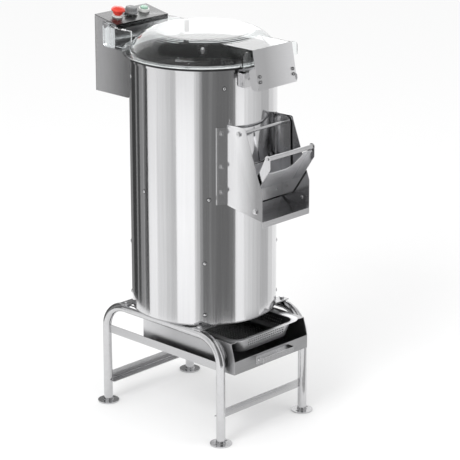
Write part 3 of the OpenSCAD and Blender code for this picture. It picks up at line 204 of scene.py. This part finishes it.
def steel(name, grain, light=0.62, rough=0.24, bump=0.00004, painted_shade=None):
    """Brushed steel. Its last argument is an optional painted shade: a direction in 1/m, where along it the
    darkening or lightening starts, and how big it is.
    """
    mat, tree, bsdf = base(name)
    use = tree.nodes.new("ShaderNodeGroup")
    use.node_tree = brushed
    use.inputs["Grain"].default_value = grain
    use.inputs["Light"].default_value = light
    use.inputs["Rough"].default_value = rough
    if painted_shade:
        for socket, value in zip(("Fade", "Painted Shade Start", "Painted Shade Change"), painted_shade):
            use.inputs[socket].default_value = value
    tree.links.new(use.outputs["Color"], bsdf.inputs["Base Color"])
    tree.links.new(use.outputs["Roughness"], bsdf.inputs["Roughness"])
    raise_surface(tree, bsdf, use.outputs["Height"], bump)
    bsdf.inputs["Metallic"].default_value = 1.0
    return mat


def plain(name, color, rough, metal=0.0, coat=0.0, vary=0.08, scale=60):
    mat, tree, bsdf = base(name)
    place = tree.nodes.new("ShaderNodeTexCoord").outputs["Object"]
    uneven = calculate(tree, "MULTIPLY_ADD", noise(tree, place, scale), vary, rough)
    tree.links.new(uneven, bsdf.inputs["Roughness"])
    bsdf.inputs["Base Color"].default_value = (*color, 1)
    bsdf.inputs["Metallic"].default_value = metal
    bsdf.inputs["Coat Weight"].default_value = coat
    return mat


def rough_grit(name):
    mat, tree, bsdf = base(name)
    use = tree.nodes.new("ShaderNodeGroup")
    use.node_tree = grit
    tree.links.new(use.outputs["Color"], bsdf.inputs["Base Color"])
    raise_surface(tree, bsdf, use.outputs["Height"], 0.001)
    bsdf.inputs["Roughness"].default_value = 0.8
    return mat


def see_through(name, color, rough):
    mat = plain(name, color, rough, vary=0.03)
    bsdf = mat.node_tree.nodes["Principled BSDF"]
    bsdf.inputs["Transmission Weight"].default_value = 1.0
    bsdf.inputs["IOR"].default_value = 1.36
    return mat


mats = {
    "drum": steel("drum steel", (420, 420, 4), light=0.58, rough=0.03, bump=0.000003),
    "sheet_up": steel("sheet steel, upright grain", (500, 500, 12), light=0.56, rough=0.12, bump=0.000004),
    "sheet_across": steel("sheet steel, level grain", (12, 500, 500), light=0.42, rough=0.18, bump=0.000004),
    # Painted shade: a darker copy of the sheet steel for the plates under the drum.
    "sheet_painted_shade": steel("sheet steel in the shade", (12, 400, 400), light=0.3, rough=0.2, bump=0.000004),
    # Painted shade: the lid's front plate grows darker towards -X.
    "plate": steel("front plate steel", (60, 900, 900), light=0.88, rough=0.26, bump=0.000001,
                   painted_shade=((-7, 0, 0), -0.75, -0.5)),
    # Painted shade: the control box grows darker towards the front.
    "case": steel("control box steel", (400, 400, 8), light=0.9, rough=0.14, bump=0.000004,
                  painted_shade=((0, -7.9, 0), -2.5, -0.53)),
    # Painted shade: the control panel and the rear cover are nearly black steel.
    "panel": steel("control panel steel", (8, 400, 400), light=0.02, rough=0.2, bump=0.000004),
    # Painted shade: the chute's side grows darker towards the front.
    "chute_side": steel("chute side steel", (500, 500, 12), light=0.7, rough=0.12, bump=0.000004,
                        painted_shade=((0, -14.3, 0), 3.05, -0.62)),
    "door": steel("door steel", (500, 500, 12), light=0.86, rough=0.26, bump=0.000004),
    "pan": steel("pressed pan steel", (60, 60, 60), light=0.62, rough=0.3, bump=0.00001),
    # Painted shade: a nearly black copy of the pan steel for the inside of the pan.
    "pan_inside_painted_shade": steel("pan inside, painted shade", (60, 60, 60), light=0.1, rough=0.25, bump=0.00001),
    # Painted shade: a darker drawer steel, and painted light that makes it lighter towards the back.
    "tray": steel("drawer steel", (12, 500, 500), light=0.34, rough=0.26, bump=0.000004,
                  painted_shade=((0, 4, 0), -0.1, 1.2)),
    # Partly painted highlight: the bare edges are lighter than the sheets.
    "edge": steel("bare sheet edge, lightened as painted highlight", (200, 200, 200), light=0.85, rough=0.3, bump=0.000004),
    "weld": steel("weld bead", (300, 300, 300), light=0.5, rough=0.35, bump=0.00002),
    "tube": steel("polished tube", (90, 90, 90), light=0.5, rough=0.08),
    "zinc": plain("zinc", (0.7, 0.7, 0.71), 0.2, metal=1.0, scale=200),
    "cast": plain("cast metal", (0.45, 0.46, 0.47), 0.5, metal=0.9, scale=150),
    "motor": plain("motor paint", (0.12, 0.19, 0.26), 0.4),
    "grit": rough_grit("abrasive grit"),
    "rubber": plain("rubber", (0.012, 0.012, 0.013), 0.6),
    "clear": see_through("clear lid", (0.96, 0.98, 0.98), 0.01),
    "red": plain("red plastic", (0.7, 0.05, 0.03), 0.25, coat=0.3),
    "grey": plain("grey plastic", (0.2, 0.205, 0.21), 0.4),
    "lens": see_through("clear start cap", (0.9, 0.96, 0.93), 0.08),
    "green": plain("start button plastic", (0.55, 0.8, 0.66), 0.2, coat=0.4),
    "white": plain("white plastic", (0.78, 0.79, 0.77), 0.35),
    "black": plain("black plastic", (0.02, 0.02, 0.021), 0.45),
}
print("materials", len(mats))

# %% [markdown]
# ## Finishes on the CAD nodes
# Each CAD node keeps its shape and gets its material here, by name. Round faces are shaded smooth and
# edges of more than 30 degrees stay hard, as on pressed and turned metal.

# %% Finishes
finishes = {
    "drum": "drum_shell",
    "door": "closing_plate door_panel",
    "panel": "control_panel rear_cover",
    "chute_side": "chute_left_side",
    "sheet_up": "chute_right_side sensor_bracket drawer_handle door_left_side door_right_side mouth_frame "
                "drain_pipe",
    "sheet_across": "left_side_rail right_side_rail front_lower_bar rear_lower_bar filter_pan chute_floor "
                    "stand_brackets",
    "plate": "lid_front_plate",
    "case": "control_case",
    "sheet_painted_shade": "base_plate drum_floor motor_plate",
    "tray": "drawer_tray",
    "tube": "left_frame right_frame foot_flanges door_rod rod_collars door_grip disc_cap disc_shaft motor_shaft",
    "zinc": "stand_bolts drawer_screws pan_head_screws chute_bolts lid_hinge_pins shaft_bearings",
    "cast": "bearing_housing driven_pulley motor_pulley",
    "motor": "motor_body",
    "grit": "abrasive_lining abrasive_disc",
    "rubber": "rim_gasket shaft_seal drive_belt door_gasket",
    "clear": "lid_dome lid_hinge_lugs",
    "red": "stop_button",
    "grey": "timer_knob",
    "green": "start_button",
    "white": "control_collars",
    "black": "water_inlet cable_gland lid_magnets",
}
done = 0
for key, names in finishes.items():
    for name in names.split():
        obj = nodes[name]
        obj.data.materials.clear()
        obj.data.materials.append(mats[key])
        bpy.ops.object.select_all(action="DESELECT")
        obj.select_set(True)
        bpy.context.view_layer.objects.active = obj
        bpy.ops.object.shade_smooth_by_angle(angle=math.radians(30))
        done += 1
print("finished nodes", done, "of", len(nodes))

# %% [markdown]
# ## How the added pieces are made
# CAD leaves small things plain: screws are discs, the pan is a box with a lip. Each such piece is
# modelled again in millimetres at the origin, then shrunk and put in its place, because Blender's
# merge and inset distances are easier to choose at that size. A round piece could be spun from a
# profile. Here a circle is extruded and resized step by step instead, as one would do by hand, because
# that leaves no doubled points at the start of the turn.

# %% Modelling helpers
def only(obj):
    bpy.ops.object.select_all(action="DESELECT")
    obj.select_set(True)
    bpy.context.view_layer.objects.active = obj


def choose(obj, kind, test):
    only(obj)
    bpy.ops.object.mode_set(mode="EDIT")
    bpy.ops.mesh.select_mode(type=kind)
    bpy.ops.mesh.select_all(action="DESELECT")
    bpy.ops.object.mode_set(mode="OBJECT")
    parts = {"VERT": obj.data.vertices, "EDGE": obj.data.edges, "FACE": obj.data.polygons}[kind]
    for part in parts:
        part.select = test(part)
    bpy.ops.object.mode_set(mode="EDIT")


def stop_editing(outside=False):
    if outside:
        bpy.ops.mesh.select_all(action="SELECT")
        bpy.ops.mesh.normals_make_consistent(inside=False)
    bpy.ops.object.mode_set(mode="OBJECT")


def turned(name, profile, steps=32):
    """A round piece from (radius, height) steps, closed at both ends."""
    bpy.ops.object.select_all(action="DESELECT")
    bpy.ops.mesh.primitive_circle_add(vertices=steps, radius=profile[0][0], fill_type="NGON",
                                      location=(0, 0, profile[0][1]))
    obj = bpy.context.object
    obj.name = name
    bpy.ops.object.transform_apply(location=True, rotation=True, scale=True)
    bpy.ops.object.mode_set(mode="EDIT")
    bpy.ops.mesh.select_mode(type="FACE")
    bpy.ops.mesh.select_all(action="SELECT")
    for (r0, z0), (r1, z1) in zip(profile, profile[1:]):
        bpy.ops.mesh.extrude_region_move(TRANSFORM_OT_translate={"value": (0, 0, z1 - z0)})
        bpy.ops.transform.resize(value=(r1 / r0, r1 / r0, 1), center_override=(0, 0, z1))
    stop_editing(outside=True)
    return obj


def join(objs, name):
    bpy.ops.object.select_all(action="DESELECT")
    for obj in objs:
        obj.select_set(True)
    bpy.context.view_layer.objects.active = objs[0]
    bpy.ops.object.join()
    objs[0].name = name
    return objs[0]


def placed(source, places, name):
    """Copies of a piece in millimetres, each with its +Z along the given direction, made one mesh."""
    made = []
    for at, up in places:
        one = source.copy()
        one.data = source.data.copy()
        bpy.context.scene.collection.objects.link(one)
        facing = Vector(up).to_track_quat("Z", "Y").to_matrix().to_4x4()
        one.matrix_world = Matrix.Translation(Vector(at) * 0.001) @ facing @ Matrix.Scale(0.001, 4)
        made.append(one)
    bpy.data.objects.remove(source)
    obj = join(made, name)
    only(obj)
    bpy.ops.object.transform_apply(location=True, rotation=True, scale=True)
    return obj


def apply(obj, kind, **settings):
    """Adds a modifier with its settings and applies it at once."""
    only(obj)
    modifier = obj.modifiers.new(kind.lower(), kind)
    for key, value in settings.items():
        setattr(modifier, key, value)
    bpy.ops.object.modifier_apply(modifier=modifier.name)


def carve(obj, cutter):
    apply(obj, "BOOLEAN", operation="DIFFERENCE", object=cutter, solver="EXACT", use_self=True)
    bpy.data.objects.remove(cutter)


def dress(obj, key, body, slot, *stands_for, angle=30):
    """Gives a new piece its material, shading and body, and hides the CAD nodes that it stands for. The slot
    argument is not used.
    """
    obj.data.materials.clear()
    obj.data.materials.append(mats[key])
    only(obj)
    bpy.ops.object.shade_smooth_by_angle(angle=math.radians(angle))
    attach(obj, body)
    if stands_for:
        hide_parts(*stands_for)
    print(obj.name, len(obj.data.polygons), "faces on", body)
    return obj


print("helpers ready")

# %% [markdown]
# ## Screws
# The drum's screws are pan heads with a cross recess on a dark sealing washer. Each could be a plain
# dome with the cross as a bump, but the recess shows in close views. So one head is turned, its cross
# is cut out with a boolean, and it is copied to every place in CAD's rings.

# %% Screw heads
def screw_head(name, r=4.5, h=2.5):
    head = turned(name, [(r, 0), (r, h * 0.25), (r * 0.94, h * 0.55), (r * 0.78, h * 0.8), (r * 0.5, h * 0.96),
                         (r * 0.24, h)], 24)
    bars = []
    for turn in (12, 102):
        bpy.ops.object.select_all(action="DESELECT")
        bpy.ops.mesh.primitive_cube_add(size=1, location=(0, 0, h))
        bar = bpy.context.object
        bar.scale = (r, r * 0.24, h * 0.9)
        bar.rotation_euler = (0, 0, math.radians(turn))
        bpy.ops.object.transform_apply(location=True, rotation=True, scale=True)
        bars.append(bar)
    carve(head, join(bars, "cross"))
    return head


def round_drum(radius, z, angle):
    """A place on the drum and its outward direction, at an angle from the front."""
    way = (math.sin(math.radians(angle)), -math.cos(math.radians(angle)), 0)
    return (radius * way[0], radius * way[1], z), way


drum_r = 200
shell_rings = {345.4: (45, 135), 491.7: (45, 135), 669.5: (41.6, 98.6, 155.6), 970.1: (29.6, 120)}
shell_places = [round_drum(drum_r, z, side * angle) for z, angles in shell_rings.items()
                for angle in angles for side in (-1, 1)]
cover_places = [((x, 320, z), (0, 1, 0)) for x in (-86, 86) for z in (902, 1056)]
sensor_place = [((-44, -213, 993), (0, -1, 0))]
drawer_places = [((x, -257.1, 224), (0, -1, 0)) for x in (-51.24, 51.24)]
seal_profile = [(6, -0.1), (6, 0.35), (5.6, 0.6)]
dress(placed(screw_head("head"), shell_places + cover_places + sensor_place, "shell_screws"),
      "zinc", "machine", "zinc", "pan_head_screws")
dress(placed(turned("seal", seal_profile, 24), shell_places, "screw_seals"), "rubber", "machine", "rubber")
dress(placed(screw_head("head"), drawer_places, "drawer_screw_heads"), "zinc", "drawer", "zinc", "drawer_screws")

# %% [markdown]
# ## Chute bolts
# Six hex bolts with washers hold the chute to the drum. The rod and the foot of the chute end in nuts
# on both sides. A hexagon is a six-sided turned shape, and its corners are chamfered by the last step.

# %% Chute bolts
def hex_head(name, r=5.4, h=3.2, washer=7.0):
    disc = turned(name + "_washer", [(washer, 0), (washer, 0.8), (washer - 0.3, 1.0)], 24)
    nut = turned(name + "_hex", [(r, 0.9), (r, h * 0.8), (r * 0.86, h)], 6)
    stud = turned(name + "_stud", [(r * 0.5, h - 0.1), (r * 0.5, h + 0.5), (r * 0.38, h + 0.9)], 16)
    return join([disc, nut, stud], name)


flange_r, flange_angle = drum_r + 1.8, 31.84
flange_places = [round_drum(flange_r, z, side * flange_angle) for z in (691, 760.5, 851) for side in (-1, 1)]
side_places = [((side * 92.5, y, z), (side, 0, 0)) for y, z in ((-220, 854.6), (-280, 656)) for side in (-1, 1)]
inner_places = [((side * 89.6, -280, 656), (-side, 0, 0)) for side in (-1, 1)]
inner_profile = [(5, 0), (5, 0.7), (4.2, 1.4), (2.4, 1.9)]
flange_bolts = placed(hex_head("flange_bolt"), flange_places, "flange_bolts")
side_nuts = placed(hex_head("side_nut", 7.2, 4.6, 8.2), side_places, "side_nuts")
inner_heads = placed(turned("inner", inner_profile, 24), inner_places, "inner_heads")
dress(join([flange_bolts, side_nuts, inner_heads], "chute_fasteners"), "zinc", "machine", "zinc", "chute_bolts")

# %% [markdown]
# ## Screws of the lid plate and the closing plate
# In CAD these heads are plain discs that are part of a bigger node. That node stays, so a domed head
# with its recess is set over each of them, square to the plate that it holds.

# %% Plate screws
lid_lean, closing_lean = math.radians(11), math.radians(3.6)
lid_plate_up = (0, -math.cos(lid_lean), math.sin(lid_lean))
closing_plate_up = (0, -math.cos(closing_lean), math.sin(closing_lean))
lid_places = [((x, y, z), lid_plate_up) for x in (-63, 63) for y, z in ((-265.65, 1011.32), (-268.32, 997.58))]
closing_places = [((x, -210.75, 670.1), closing_plate_up) for x in (-65.45, 65.45)]
for name, places, body in (("lid_plate_screws", lid_places, "lid"),
                           ("closing_plate_screws", closing_places, "discharge_door")):
    dress(placed(screw_head("head", 4.7, 2.7), places, name), "zinc", body, "zinc")

# %% [markdown]
# ## Filter pan
# A pressed steel pan with a round bottom edge, a flat rim, and rows of holes all round and in its
# bottom. The bottom is a rounded rectangle, its edge is extruded up in steps, solidify gives the
# wall its thickness, and one boolean with all the pins of a side together cuts the holes. Cutting
# them one by one would give the same pan and take far longer.

# %% Filter pan
def pan_shell():
    """The pan in millimetres, with the outside of its bottom at zero."""
    rim, top, low = (265, 325), (229, 299), (196, 289)
    foot, corner, rim_z = 9, 24, 44
    size, level = tuple(v - 2 * foot for v in low), 0.0
    bpy.ops.object.select_all(action="DESELECT")
    bpy.ops.mesh.primitive_plane_add(size=1, location=(0, 0, 0))
    obj = bpy.context.object
    obj.scale = (*size, 1)
    bpy.ops.object.transform_apply(location=True, rotation=True, scale=True)
    bpy.ops.object.mode_set(mode="EDIT")
    bpy.ops.mesh.select_mode(type="VERT")
    bpy.ops.mesh.select_all(action="SELECT")
    bpy.ops.mesh.bevel(offset=corner, segments=8, affect="VERTICES")
    bpy.ops.mesh.select_mode(type="EDGE")
    bpy.ops.mesh.select_all(action="SELECT")
    outline = []
    for i in range(1, 5):
        t = math.radians(22.5 * i)
        outline.append((tuple(v - 2 * foot * (1 - math.sin(t)) for v in low), foot * (1 - math.cos(t))))
    outline += [(top, rim_z - 2.5), ((top[0] + 1.5, top[1] + 1.5), rim_z - 0.8),
                ((top[0] + 5, top[1] + 5), rim_z), (rim, rim_z)]
    for (w, l), z in outline:
        bpy.ops.mesh.extrude_edges_move(TRANSFORM_OT_translate={"value": (0, 0, z - level)})
        bpy.ops.transform.resize(value=(w / size[0], l / size[1], 1), center_override=(0, 0, z))
        size, level = (w, l), z
    stop_editing(outside=True)
    apply(obj, "SOLIDIFY", thickness=1.0, offset=-1)
    return obj


def pins(places, radius, length, sides, along):
    """Cutting pins, one beside the other, made from one cylinder by copies."""
    bpy.ops.object.select_all(action="DESELECT")
    bpy.ops.mesh.primitive_cylinder_add(vertices=sides, radius=radius, depth=length)
    first = bpy.context.object
    first.rotation_euler = Vector(along).to_track_quat("Z", "Y").to_euler()
    bpy.ops.object.transform_apply(location=True, rotation=True, scale=True)
    made = []
    for at in places:
        one = first.copy()
        one.data = first.data.copy()
        bpy.context.scene.collection.objects.link(one)
        one.location = at
        made.append(one)
    bpy.data.objects.remove(first)
    obj = join(made, "pins")
    only(obj)
    bpy.ops.object.transform_apply(location=True, rotation=True, scale=True)
    return obj


pan = pan_shell()
rows = (33, 26, 19)
wall_pitch, wall_hole_r, bottom_pitch, bottom_hole_r = 7.5, 2.3, 10, 2.6
ends = [(wall_pitch * c, y, z) for y in (-147, 147) for z in rows for c in range(-9, 10)]
sides = [(x, wall_pitch * c, z) for x in (-108, 108) for z in rows for c in range(-14, 15)]
bottom = [(bottom_pitch * a, bottom_pitch * b, 0) for a in range(-8, 9) for b in range(-12, 13)]
carve(pan, pins(ends, wall_hole_r, 20, 10, (0, 1, 0)))
carve(pan, pins(sides, wall_hole_r, 26, 10, (1, 0, 0)))
carve(pan, pins(bottom, bottom_hole_r, 6, 8, (0, 0, 1)))
print("holes", len(ends + sides + bottom))
pan_at = (0, -86.5, 245.3)
pan = dress(placed(pan, [(pan_at, (0, 0, 1))], "pressed_pan"), "pan", "drawer", "brushed", "filter_pan")

# %% [markdown]
# The inside of the pan gets a nearly black steel as painted shade. Its faces are found by their
# normals: they look up, or they look towards the middle of the pan.

# %% Inside of the pan
pan.data.materials.append(mats["pan_inside_painted_shade"])
middle = Vector(pan_at) * 0.001
rim_under = 0.2875
inside = 0
for face in pan.data.polygons:
    way = face.center - middle
    looks_in = face.normal.z > 0.6 or face.normal.x * way.x + face.normal.y * way.y < 0
    if face.center.z < rim_under and looks_in:
        face.material_index = 1
        inside += 1
print("faces inside the pan", inside)

# %% [markdown]
# ## Stop button
# The three controls stand on the sloping panel, so each is modelled upright in millimetres and then
# tilted with it. The stop button is a smooth mushroom head on a narrower foot. The foot starts high
# enough to stay clear of the white collar when the button is pressed 4 mm.

# %% Stop button
slope = math.radians(10.6)
panel_up = (0, -math.sin(slope), math.cos(slope))
controls_pitch = 50


def on_panel(step):
    """The middle of a control on the panel, in millimetres, counted from the timer."""
    return step * controls_pitch, 280.05, 1086.43


stop = turned("stop", [(8, -3), (8, 8.4), (13.5, 8.4), (13.5, 14), (15, 15.4), (18.6, 16.2), (19.3, 17.2),
                       (19.5, 19), (19.2, 21.2), (17.8, 23.6), (15.2, 25.6), (11, 27.2), (6, 28), (2, 28.3)], 48)
dress(placed(stop, [(on_panel(-1), panel_up)], "stop_mushroom"), "red", "stop_cap", "red", "stop_button")

# %% [markdown]
# ## Timer knob
# A turned grey knob with a wide skirt. Sixteen finger flutes are pushed into it by drawing in every
# group of side points that lies on a flute, which keeps one closed mesh where a boolean would leave
# ragged edges. A white pointer turns with the knob, and the dial's marks stay on the panel.

# %% Timer knob
flute_step, flute_half = 22.5, 4
knob = turned("knob", [(18.6, 3), (19, 3.6), (19, 6), (18.4, 7.2), (16.6, 8.6), (15.9, 9.8), (15.9, 14), (15.8, 17),
                       (15, 18.8), (13.4, 19.4), (5, 19.5)], 64)


def off_flute(v):
    """How far a point's angle lies from the middle of the nearest flute, in degrees."""
    angle = math.degrees(math.atan2(v.co.y, v.co.x))
    return abs((angle + flute_step / 2) % flute_step - flute_step / 2)


choose(knob, "VERT", lambda v: 9 < v.co.z < 19 and v.co.xy.length > 14 and off_flute(v) < flute_half)
bpy.ops.transform.resize(value=(0.92, 0.92, 1), center_override=(0, 0, 14))
stop_editing()
dress(placed(knob, [(on_panel(0), panel_up)], "fluted_knob"), "grey", "timer_dial", "grey_plastic",
      "timer_knob", angle=35)


def small_bar(name, width, length, height):
    bpy.ops.object.select_all(action="DESELECT")
    bpy.ops.mesh.primitive_cube_add(size=1, location=(0, 0, 0))
    bar = bpy.context.object
    bar.scale = (width, length, height)
    bpy.ops.object.transform_apply(location=True, rotation=True, scale=True)
    bar.name = name
    apply(bar, "BEVEL", width=height * 0.4, segments=2)
    return bar


def spun_out(bar, radius, angles, z):
    """Copies of a bar round the origin, each pointing outwards, made one mesh."""
    made = []
    for angle in angles:
        one = bar.copy()
        one.data = bar.data.copy()
        bpy.context.scene.collection.objects.link(one)
        one.rotation_euler = (0, 0, -angle)
        one.location = (radius * math.sin(angle), radius * math.cos(angle), z)
        made.append(one)
    bpy.data.objects.remove(bar)
    obj = join(made, "marks")
    only(obj)
    bpy.ops.object.transform_apply(location=True, rotation=True, scale=True)
    return obj


pointer = spun_out(small_bar("bar", 2.2, 10, 0.6), 8.5, [math.radians(-30)], 19.6)
dress(placed(pointer, [(on_panel(0), panel_up)], "knob_pointer"), "white", "timer_dial", "white_plastic")
ticks = spun_out(small_bar("bar", 1.1, 3.4, 0.3), 22.4, [math.radians(-150 + 30 * i) for i in range(11)], 0.1)
dress(placed(ticks, [(on_panel(0), panel_up)], "dial_ticks"), "white", "machine", "white_plastic")

# %% [markdown]
# ## Start button
# A clear cap over a green core. One green piece would look flat, while a cap that lets the core show
# through has the pale rim of the real button.

# %% Start button
cap = turned("cap", [(10.8, -3), (10.8, 8), (11, 8.4), (11, 12.4), (10.6, 13.6), (9.6, 14.3), (4, 14.6)], 48)
core = turned("core", [(9.2, 8), (9.2, 11.4), (8.4, 12.4), (3, 12.7)], 40)
dress(placed(cap, [(on_panel(1), panel_up)], "start_cap_clear"), "lens", "start_cap", "green_plastic",
      "start_button")
dress(placed(core, [(on_panel(1), panel_up)], "start_core"), "green", "start_cap", "green_plastic")

# %% [markdown]
# ## Welds
# The legs are welded to their feet and the drum is welded down its back. A foot's bead is a thin ring
# with every second of its sections drawn in a little, like the ripples of a weld. The drum's seam is
# ground nearly flat, so a strip with a raised middle is enough.

# %% Welds
def weld_ring(name, radius, thick, section=5):
    bpy.ops.object.select_all(action="DESELECT")
    bpy.ops.mesh.primitive_torus_add(major_radius=radius, minor_radius=thick, major_segments=360 // section,
                                     minor_segments=8)
    ring = bpy.context.object
    ring.name = name
    choose(ring, "VERT", lambda v: round(math.degrees(math.atan2(v.co.y, v.co.x)) / section) % 2 == 0)
    bpy.ops.transform.resize(value=(0.985, 0.985, 0.86), center_override=(0, 0, 0))
    stop_editing()
    return ring


def seam_strip(width, length):
    bpy.ops.object.select_all(action="DESELECT")
    bpy.ops.mesh.primitive_plane_add(size=1, location=(0, 0, 0))
    strip = bpy.context.object
    strip.scale = (width, length, 1)
    bpy.ops.object.transform_apply(location=True, rotation=True, scale=True)
    bpy.ops.object.mode_set(mode="EDIT")
    bpy.ops.mesh.subdivide(number_cuts=3)
    bpy.ops.object.mode_set(mode="OBJECT")
    choose(strip, "VERT", lambda v: abs(v.co.x) < 1)
    bpy.ops.transform.translate(value=(0, 0, 0.5))
    stop_editing()
    return strip


leg_x, leg_y, foot_top, drum_middle = 164, 222, 4.3, 668.9
foot_places = [((x, y, foot_top), (0, 0, 1)) for x in (-leg_x, leg_x) for y in (-leg_y, leg_y)]
back_place = ((0, drum_r + 0.2, drum_middle), (0, 1, 0))
dress(placed(weld_ring("weld", 12.9, 1.5), foot_places, "foot_welds"), "weld", "machine", "polished", angle=60)
dress(placed(seam_strip(3.2, 690), [back_place], "drum_seam"), "weld", "machine", "brushed", angle=60)

# %% [markdown]
# ## Softened sheet edges
# A sheet's edge is never sharp: the burr is taken off and the bare edge shines. A bevel shader could
# fake it, but only in the shader and not in the mesh. So each sheet node is copied, its loose
# triangles are merged and its flat faces joined, and a bevel goes round the edges in a brighter
# material, which is partly the bare edge's own finish and partly a painted highlight. The copy keeps
# the node's material and stands for it.

# %% Softened sheets
def softened(node, width=0.0005):
    obj = bpy.data.objects.new(node + "_soft", nodes[node].data.copy())
    bpy.context.scene.collection.objects.link(obj)
    only(obj)
    bpy.ops.object.mode_set(mode="EDIT")
    bpy.ops.mesh.select_all(action="SELECT")
    bpy.ops.mesh.remove_doubles(threshold=0.00002)
    bpy.ops.mesh.dissolve_limited(angle_limit=math.radians(1))
    bpy.ops.object.mode_set(mode="OBJECT")
    obj.data.materials.append(mats["edge"])
    apply(obj, "BEVEL", width=width, segments=1, limit_method="ANGLE", angle_limit=math.radians(40), material=1)
    only(obj)
    bpy.ops.object.shade_smooth_by_angle(angle=math.radians(25))
    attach(obj, nodes[node]["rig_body"])
    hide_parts(node)
    print(obj.name, len(obj.data.polygons), "faces")


sheets = ("chute_left_side door_panel chute_right_side sensor_bracket drawer_handle left_side_rail "
          "right_side_rail front_lower_bar rear_lower_bar chute_floor drawer_tray lid_front_plate "
          "control_panel rear_cover")
for name in sheets.split():
    softened(name)

# %% [markdown]
# ## Floor and light
# The photograph is a cut-out on white with soft light from all round. The floor is pale and has no
# gloss, so that it keeps a soft shadow and nothing else.

# %% Floor
bpy.ops.mesh.primitive_plane_add(size=40, location=(0, 0, 0))
floor = bpy.context.object
floor.name = "floor"
floor_mat, _, floor_bsdf = base("floor")
floor_bsdf.inputs["Base Color"].default_value = (0.93, 0.93, 0.93, 1)
floor_bsdf.inputs["Roughness"].default_value = 0.9
floor_bsdf.inputs["Specular IOR Level"].default_value = 0.0
floor.data.materials.append(floor_mat)
print("floor", floor.dimensions[:])

# %% [markdown]
# ## Cards
# Polished steel shows what stands round it. In a studio those are black, grey and white cards, and
# they give the drum its upright bands. Painting the bands on the drum would be wrong, since they
# would stay in place in every other view. Here a card is a piece of a wall round the drum that only
# reflections see. Its angles are in degrees from the direction of the camera, negative to the left,
# and its shade is its brightness, where the world's is 1.

# %% Cards
def card_mesh(name, verts, faces, shade):
    mesh = bpy.data.meshes.new(name)
    mesh.from_pydata(verts, [], faces)
    obj = bpy.data.objects.new(name, mesh)
    bpy.context.scene.collection.objects.link(obj)
    mat, _, bsdf = base(name)
    bsdf.inputs["Base Color"].default_value = (0, 0, 0, 1)
    bsdf.inputs["Roughness"].default_value = 1.0
    bsdf.inputs["Specular IOR Level"].default_value = 0.0
    bsdf.inputs["Emission Color"].default_value = (shade, shade, shade, 1)
    bsdf.inputs["Emission Strength"].default_value = 1.0
    mesh.materials.append(mat)
    obj.visible_camera = False
    obj.visible_diffuse = False
    obj.visible_shadow = False
    obj.visible_transmission = False


def card(name, left, right, shade, high, low=0.03, away=0.95):
    toward = math.atan2(-ahead.y, -ahead.x)
    steps = max(1, int(abs(right - left) / 6))
    verts = []
    for i in range(steps + 1):
        a = toward + math.radians(left + (right - left) * i / steps)
        verts += [(away * math.cos(a), away * math.sin(a), z) for z in (low, high)]
    faces = [(2 * i, 2 * i + 2, 2 * i + 3, 2 * i + 1) for i in range(steps)]
    card_mesh(name, verts, faces, shade)


left_cards = [(-180, -135, 0.25), (-135, -119.5, 0.06), (-119.5, -115, 0.33), (-115, -107.5, 0.08),
              (-107.5, -99, 0.33), (-99, -95.5, 0.45), (-95.5, -91.5, 0.2), (-91.5, -87, 0.07), (-70, -62, 0.97),
              (-62, -54, 0.93), (-54, -46, 0.82), (-46, -38, 0.72), (-12, -9, 0.85), (-9, -5, 0.7),
              (-5, -1.5, 0.42), (-1.5, 8, 0.22)]
right_cards = [(8, 13, 0.27), (13, 18, 0.22), (18, 36, 0.19), (36, 42, 0.22), (42, 46, 0.3), (60, 67, 0.97),
               (67, 75, 0.87), (75, 83, 0.78), (83, 92, 0.7), (92, 112, 0.6), (112, 128, 0.85)]
left_high, right_high = 1.1, 2.6
for i, band in enumerate(left_cards + right_cards):
    card("card_%d" % i, *band, high=left_high if i < len(left_cards) else right_high)
print("cards", len(left_cards + right_cards))

# %% [markdown]
# Three more cards: a bright one high up behind the machine whitens the top of the clear lid, a dark
# ceiling keeps the view through its front clear, and a grey mat on the floor in front darkens the
# front of the drawer.

# %% Sky, ceiling and mat
ceiling_r, ceiling_z, mat_z = 1.6, 2.9, 0.003
card("sky", 167, 240, 2.3, low=1.15, high=2.7, away=2.0)
card_mesh("ceiling", [(x * ceiling_r, y * ceiling_r, ceiling_z) for x, y in ((-1, -1), (1, -1), (1, 1), (-1, 1))],
          [(0, 1, 2, 3)], 0.06)
card_mesh("mat", [(x, y, mat_z) for x, y in ((-0.05, -0.36), (0.25, -0.36), (1.3, -1.2), (0.6, -1.5))],
          [(0, 1, 2, 3)], 0.5)

# %% [markdown]
# ## World and lamps
# A plain white world gives the background and most of the light. Two soft lamps that reflections
# don't see give the shapes a lighter and a darker side. Standard view keeps each colour as written.

# %% World and lamps
world = bpy.data.worlds.new("studio")
bpy.context.scene.world = world
world.use_nodes = True
world.node_tree.nodes["Background"].inputs["Color"].default_value = (1, 1, 1, 1)
world.node_tree.nodes["Background"].inputs["Strength"].default_value = 1.0


def lamp(name, place, target, size, power):
    data = bpy.data.lights.new(name, "AREA")
    data.size = size
    data.energy = power
    obj = bpy.data.objects.new(name, data)
    bpy.context.scene.collection.objects.link(obj)
    obj.location = place
    obj.rotation_euler = (Vector(target) - Vector(place)).to_track_quat("-Z", "Y").to_euler()
    obj.visible_glossy = False


machine_middle = (0, 0, 0.6)
lamp("key", (-3.0, -0.6, 3.0), machine_middle, 1.6, 60)
lamp("fill", (1.5, -3.5, 1.8), machine_middle, 2.0, 18)
bpy.context.scene.view_settings.view_transform = "Standard"
